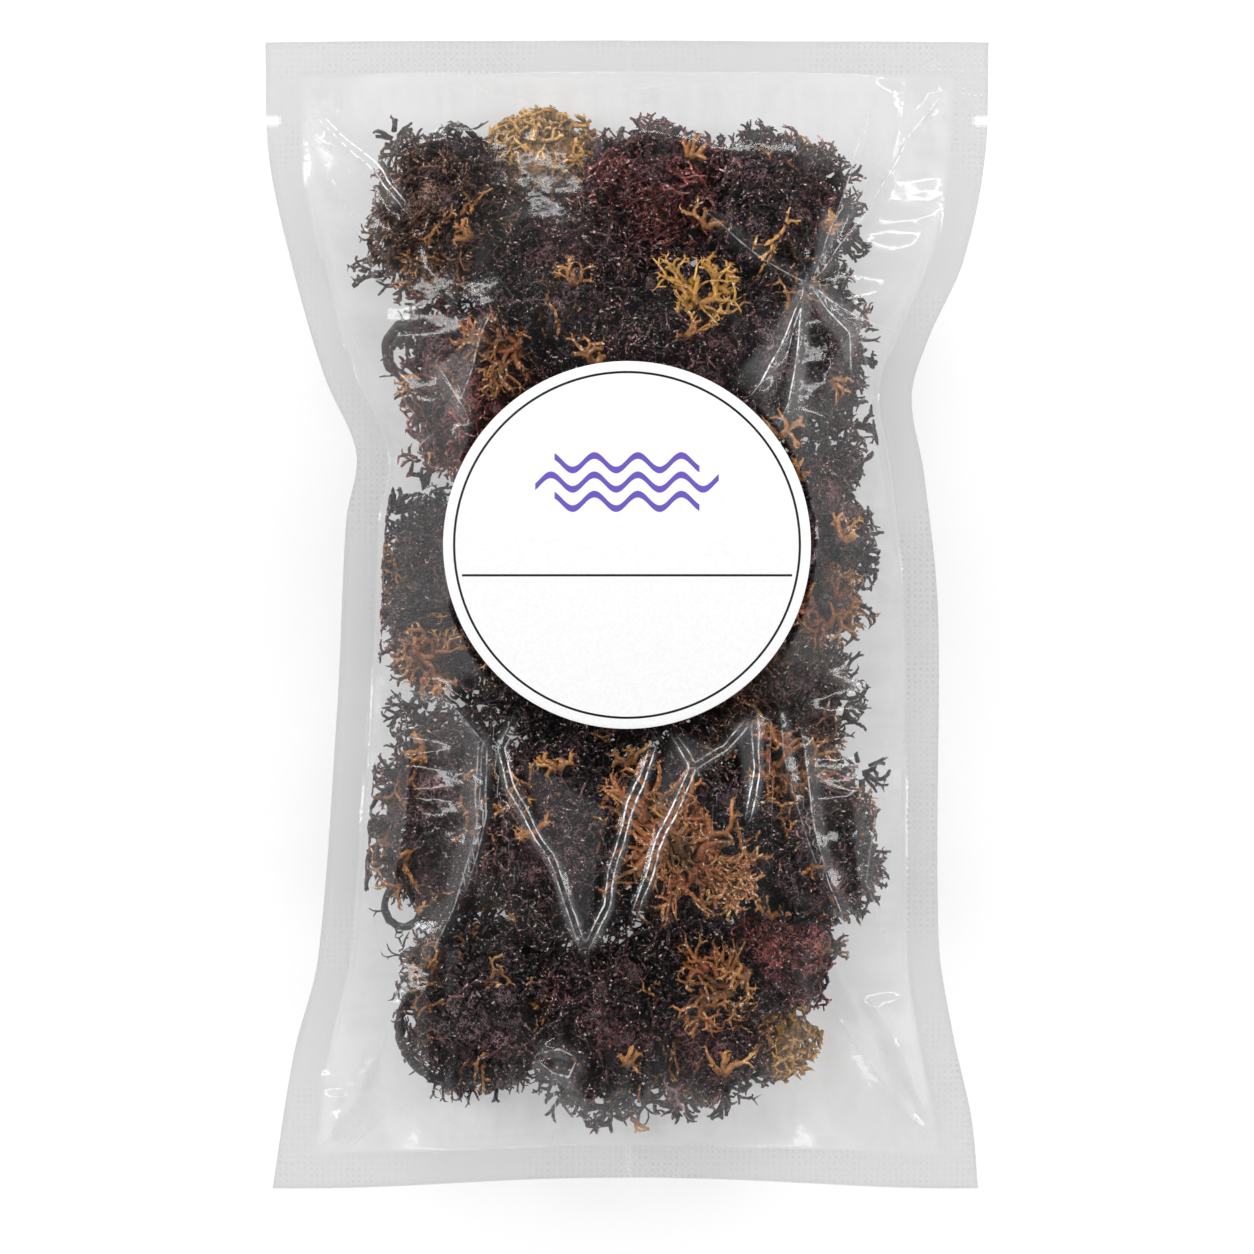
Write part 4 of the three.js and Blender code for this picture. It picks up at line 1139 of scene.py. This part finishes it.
def tuft_piece(index, name, colour):
    """One tuft: its dark middle, branches, sprigs, golden blades and stems."""
    rng = np.random.default_rng(1000 + index)
    cell = cells[name]
    growth = Growth()
    add_core(growth, cell, *CORE.get(colour, DARK_CORE))
    # Seeds all over the tuft, by the area of its ellipsoid, and few on the underside
    a, b, c = cell.half
    area = 4 * math.pi * (((a * b) ** 1.6 + (a * c) ** 1.6 + (b * c) ** 1.6) / 3) ** (1 / 1.6)
    z = 1 - 2 * rng.random(int(area / SEED_AREA * 1.6))
    z = z[(z > -0.2) | (rng.random(len(z)) < 0.4)]
    if colour == "gold":
        z = np.concatenate([z, rng.uniform(-0.2, 1, len(z))])
    count = len(z)
    phi = rng.uniform(0, 2 * np.pi, count)
    flatness = np.sqrt(1 - z * z)
    direction = np.stack([flatness * np.cos(phi), flatness * np.sin(phi), z], 1) * cell.half
    share = cell.share(cell.centre + direction)
    P = cell.centre + direction * (rng.uniform(0.58, 0.74, count) / share)[:, None]
    # Few again where the sticker hides them
    hidden = from_label(P[:, 0], P[:, 1]) < LABEL_DIAMETER / 2 - 8
    seen = ~hidden | (rng.random(count) < 0.12)
    P = between_films(P[seen], np.full(seen.sum(), 1.0))
    count = len(P)
    D = unit(unit(direction[seen]) + rng.normal(0, 0.6, (count, 3)))
    N = unit(np.cross(D, rng.normal(0, 1, (count, 3))))
    golden = (lumps(P + 50 + 9 * index, 6) > 0.42) & (rng.random(count) < GILDED[colour])
    tone = np.stack([TONE[colour] + rng.normal(0, 0.1, count), golden * rng.uniform(0.5, 1, count)], 1)
    grow(
        growth, cell, P, D, N, rng.uniform(1.2, 1.9, count), tone, rng, steps=9, step=1.15,
        spread=(0.45, 0.95), jitter=0.3, sides=3, flat=0.7, narrow=0.95, prune=0.05,
    )
    add_sprigs(growth, name, rng)
    add_bits(growth, name, cell, rng)
    add_stems(growth, name, cell, rng)
    growth.piece(name, colour)


def frond_piece(index, name, colour, size, heading):
    """One flat frond of several fans, between its bed on the tuft and the film."""
    rng = np.random.default_rng(3100 + index)
    start, normal = beds[name]
    growth = Growth()
    angle = math.radians(heading)
    forward = np.array([math.cos(angle), math.sin(angle), 0])
    forward = unit(forward - normal * (forward @ normal))
    side = np.cross(normal, forward)
    # A flat cell: the bed above its parent's wall, a plane each side of the frond
    limits = [(normal, normal @ start + 1.6), (-normal, -(normal @ start) + 1.6)]
    flat_cell = Cell(start, np.full(3, size * 1.05), limits)
    large = size > LARGE_SIZE
    steps = 11 if large else 9
    thickness = (2.0, 3.0) if large else (1.5, 2.2)
    for lean, half_spread, count, reach, ahead, aside in LARGE_FROND if large else SMALL_FROND:
        turn = lean + np.linspace(-half_spread, half_spread, count) + rng.normal(0, 0.12, count)
        D = forward[None] * np.cos(turn)[:, None] + side[None] * np.sin(turn)[:, None]
        hub = start + forward * size * ahead + side * size * aside
        P = np.repeat(hub[None], count, 0) + D * 0.6 + normal * rng.uniform(-1, 1, (count, 1))
        N = np.repeat(normal[None], count, 0)
        tone = np.tile([TONE[colour], 0.0], (count, 1))
        tone[:, 0] += rng.normal(0, 0.06, count) - (0.15 if abs(lean) > 2 else 0)
        grow(
            growth, flat_cell, P, D, N, rng.uniform(*thickness, count), tone, rng, steps=steps,
            step=1.3 * reach * size / steps, spread=(0.3, 0.85), jitter=0.3, sides=4, flat=0.4,
            narrow=0.93, prune=0.05, planar=0.55, spikes=0.25, own=(0.8, 1.0),
        )
    growth.piece(name, colour)


for index, (name, colour, *_) in enumerate(TUFTS):
    tuft_piece(index, name, colour)
for index, (name, colour, _, _, _, _, size, heading) in enumerate(FRONDS):
    frond_piece(index, name, colour, size, heading)


# The films and the sticker

def film_piece(name, node, grid, side, material):
    """A sheet over a film's grid, with the rims of its seal and its two tear notches."""
    x, y, z, white, gap, glint, double = grid
    edge = edge_distance(x, y)
    seal = np.clip((SEAL_WIDTH - edge) / 0.6, 0, 1)
    # Painted highlight along the seal's inner edge and the film's cut edge
    rim = np.exp(-(((edge - SEAL_WIDTH) / 0.45) ** 2)) + np.exp(-((edge / 0.5) ** 2))
    white = white + 0.35 * rim * (0.6 + 0.4 * value_noise(x, y, 9, 88))
    vertices = np.stack([x, y, z + side * 0.06], -1).reshape(-1, 3)
    faces = quads(numbers(*x.shape))
    middle = vertices[faces].mean(1)
    keep = np.ones(len(faces), bool)
    for line, way in ((LEFT_EDGE, -1), (RIGHT_EDGE, 1)):
        inner = along_edge(line, NOTCH_Y) - way * (NOTCH_DEPTH - NOTCH_WIDTH / 2)
        outside = (middle[:, 0] - inner) * way
        beside = np.abs(middle[:, 1] - NOTCH_Y)
        round_end = np.hypot(middle[:, 0] - inner, beside) < NOTCH_WIDTH / 2
        keep &= ~(((outside > 0) & (beside < NOTCH_WIDTH / 2)) | round_end)
    layers = {"white": white, "seal": seal, "gap": gap, "glint": glint, "double": double}
    made = make_object(name, vertices, faces[keep], layers)
    # A clear film leaves no shade to speak of
    made.visible_shadow = False
    made.visible_diffuse = False
    place_piece(made, node, material)


film_piece("clear_front_film", "pouch_front_film", front, 1, film_material("film_front"))
film_piece("clear_back_film", "pouch_back_film", back, -1, film_material("film_back"))


def label_piece():
    """The sticker: a bent disc with a top, an underside and a thin rim."""
    radii = np.array([0, 6, 12, 18, 24, 29, 33, 35.6, 37.2, 38.0, LABEL_DIAMETER / 2])
    turns = 160
    angle = np.arange(turns) * 2 * np.pi / turns
    x = LABEL_CENTRE[0] + radii[:, None] * np.cos(angle)
    y = LABEL_CENTRE[1] + radii[:, None] * np.sin(angle)
    z = label_height(radii) + FILM / 2 + GAP + LABEL_THICKNESS
    z[-1] -= 0.05
    top = np.stack([x, y, np.repeat(z[:, None], turns, 1)], -1).reshape(-1, 3)
    index = numbers(2 * len(radii), turns)
    disc = round_quads(index[:len(radii)])
    rim = round_quads(index[[len(radii) - 1, -1]])
    faces = np.concatenate([disc, disc[:, [0, 3, 2, 1]] + len(top), rim])
    made = make_object("paper_label", np.concatenate([top, top - (0, 0, 0.18)]), faces)
    place_piece(made, "label", label_material())


label_piece()


# The stage: floor, lights and camera

FLOOR_HALF = 4000
SQUARE = [(-1, -1), (1, -1), (1, 1), (-1, 1)]
floor = make_object("floor", [(x * FLOOR_HALF, y * FLOOR_HALF, -0.3) for x, y in SQUARE], [(0, 1, 2, 3)])
floor_material, floor_nodes = new_material("floor_white")
floor_nodes.shade(floor_nodes.add(
    "BsdfPrincipled", Roughness=0.9, Base_Color=(0.55, 0.55, 0.55), Emission_Color=(1, 1, 1),
    Emission_Strength=0.46,
))
floor.data.materials.append(floor_material)

# Lamps: name, place, size, power. The broad ones aren't mirrored, so that the film stays clear, and
# the two that make the seaweed's tips glisten reach nothing else
AIM = Vector((0, 0, 0.01))
LAMPS = [
    ("lamp_left", (-0.55, 0.25, 0.95), (0.3, 0.9), 3.4),
    ("lamp_right", (0.55, 0.1, 1.0), (0.3, 0.9), 2.8),
    ("lamp_far", (0.1, 0.85, 0.85), (0.8, 0.2), 2.6),
    ("strip_left", (-1.0, 0.1, 0.7), (0.07, 0.9), 1.6),
    ("strip_right", (1.0, 0.1, 0.75), (0.07, 0.9), 1.6),
    ("strip_far", (0.1, 1.0, 0.7), (0.8, 0.06), 1.2),
    ("glisten_left", (-0.45, 0.6, 0.8), (0.1, 0.1), 8.0),
    ("glisten_right", (0.7, -0.1, 0.8), (0.1, 0.1), 5.0),
]
for name, place, size, power in LAMPS:
    lamp = bpy.data.lights.new(name, "AREA")
    lamp.shape = "RECTANGLE"
    lamp.size, lamp.size_y = size
    lamp.energy = power
    made = bpy.data.objects.new(name, lamp)
    made.location = place
    made.rotation_mode = "QUATERNION"
    made.rotation_quaternion = (AIM - Vector(place)).to_track_quat("-Z", "Y")
    scene.collection.objects.link(made)
    if name.startswith("lamp"):
        made.visible_glossy = False
    if name.startswith("glisten"):
        made.light_linking.receiver_collection = seaweed

# A bright room with a dark ceiling, which keeps the film that faces up clear
world = bpy.data.worlds.new("studio")
scene.world = world
world.use_nodes = True
sky = Nodes(world.node_tree)
height = sky.add("SeparateXYZ", Vector=sky.add("TexCoord").outputs["Generated"]).outputs[2]
room = sky.ramp(height, (0.0, 1), (0.45, 1), (0.64, 0.24), (0.86, 0.03))
sky.add("OutputWorld", Surface=sky.add("Background", Color=room, Strength=1.25).outputs[0])

scene.view_settings.view_transform = "Standard"
scene.view_settings.look = "None"

# The camera looks straight down at the photo's scale
PHOTO_WIDTH = 1254
MM_PER_PIXEL = 0.21
SENSOR = 36
LENS = 240
camera_data = bpy.data.cameras.new("camera")
camera_data.sensor_width = SENSOR
camera_data.lens = LENS
camera_data.clip_start, camera_data.clip_end = 0.05, 50
camera = bpy.data.objects.new("camera", camera_data)
away = PHOTO_WIDTH * MM_PER_PIXEL * LENS / SENSOR
camera.location = (0, -2.5 * MM, (away + SEAM_HEIGHT) * MM)
scene.collection.objects.link(camera)
scene.camera = camera
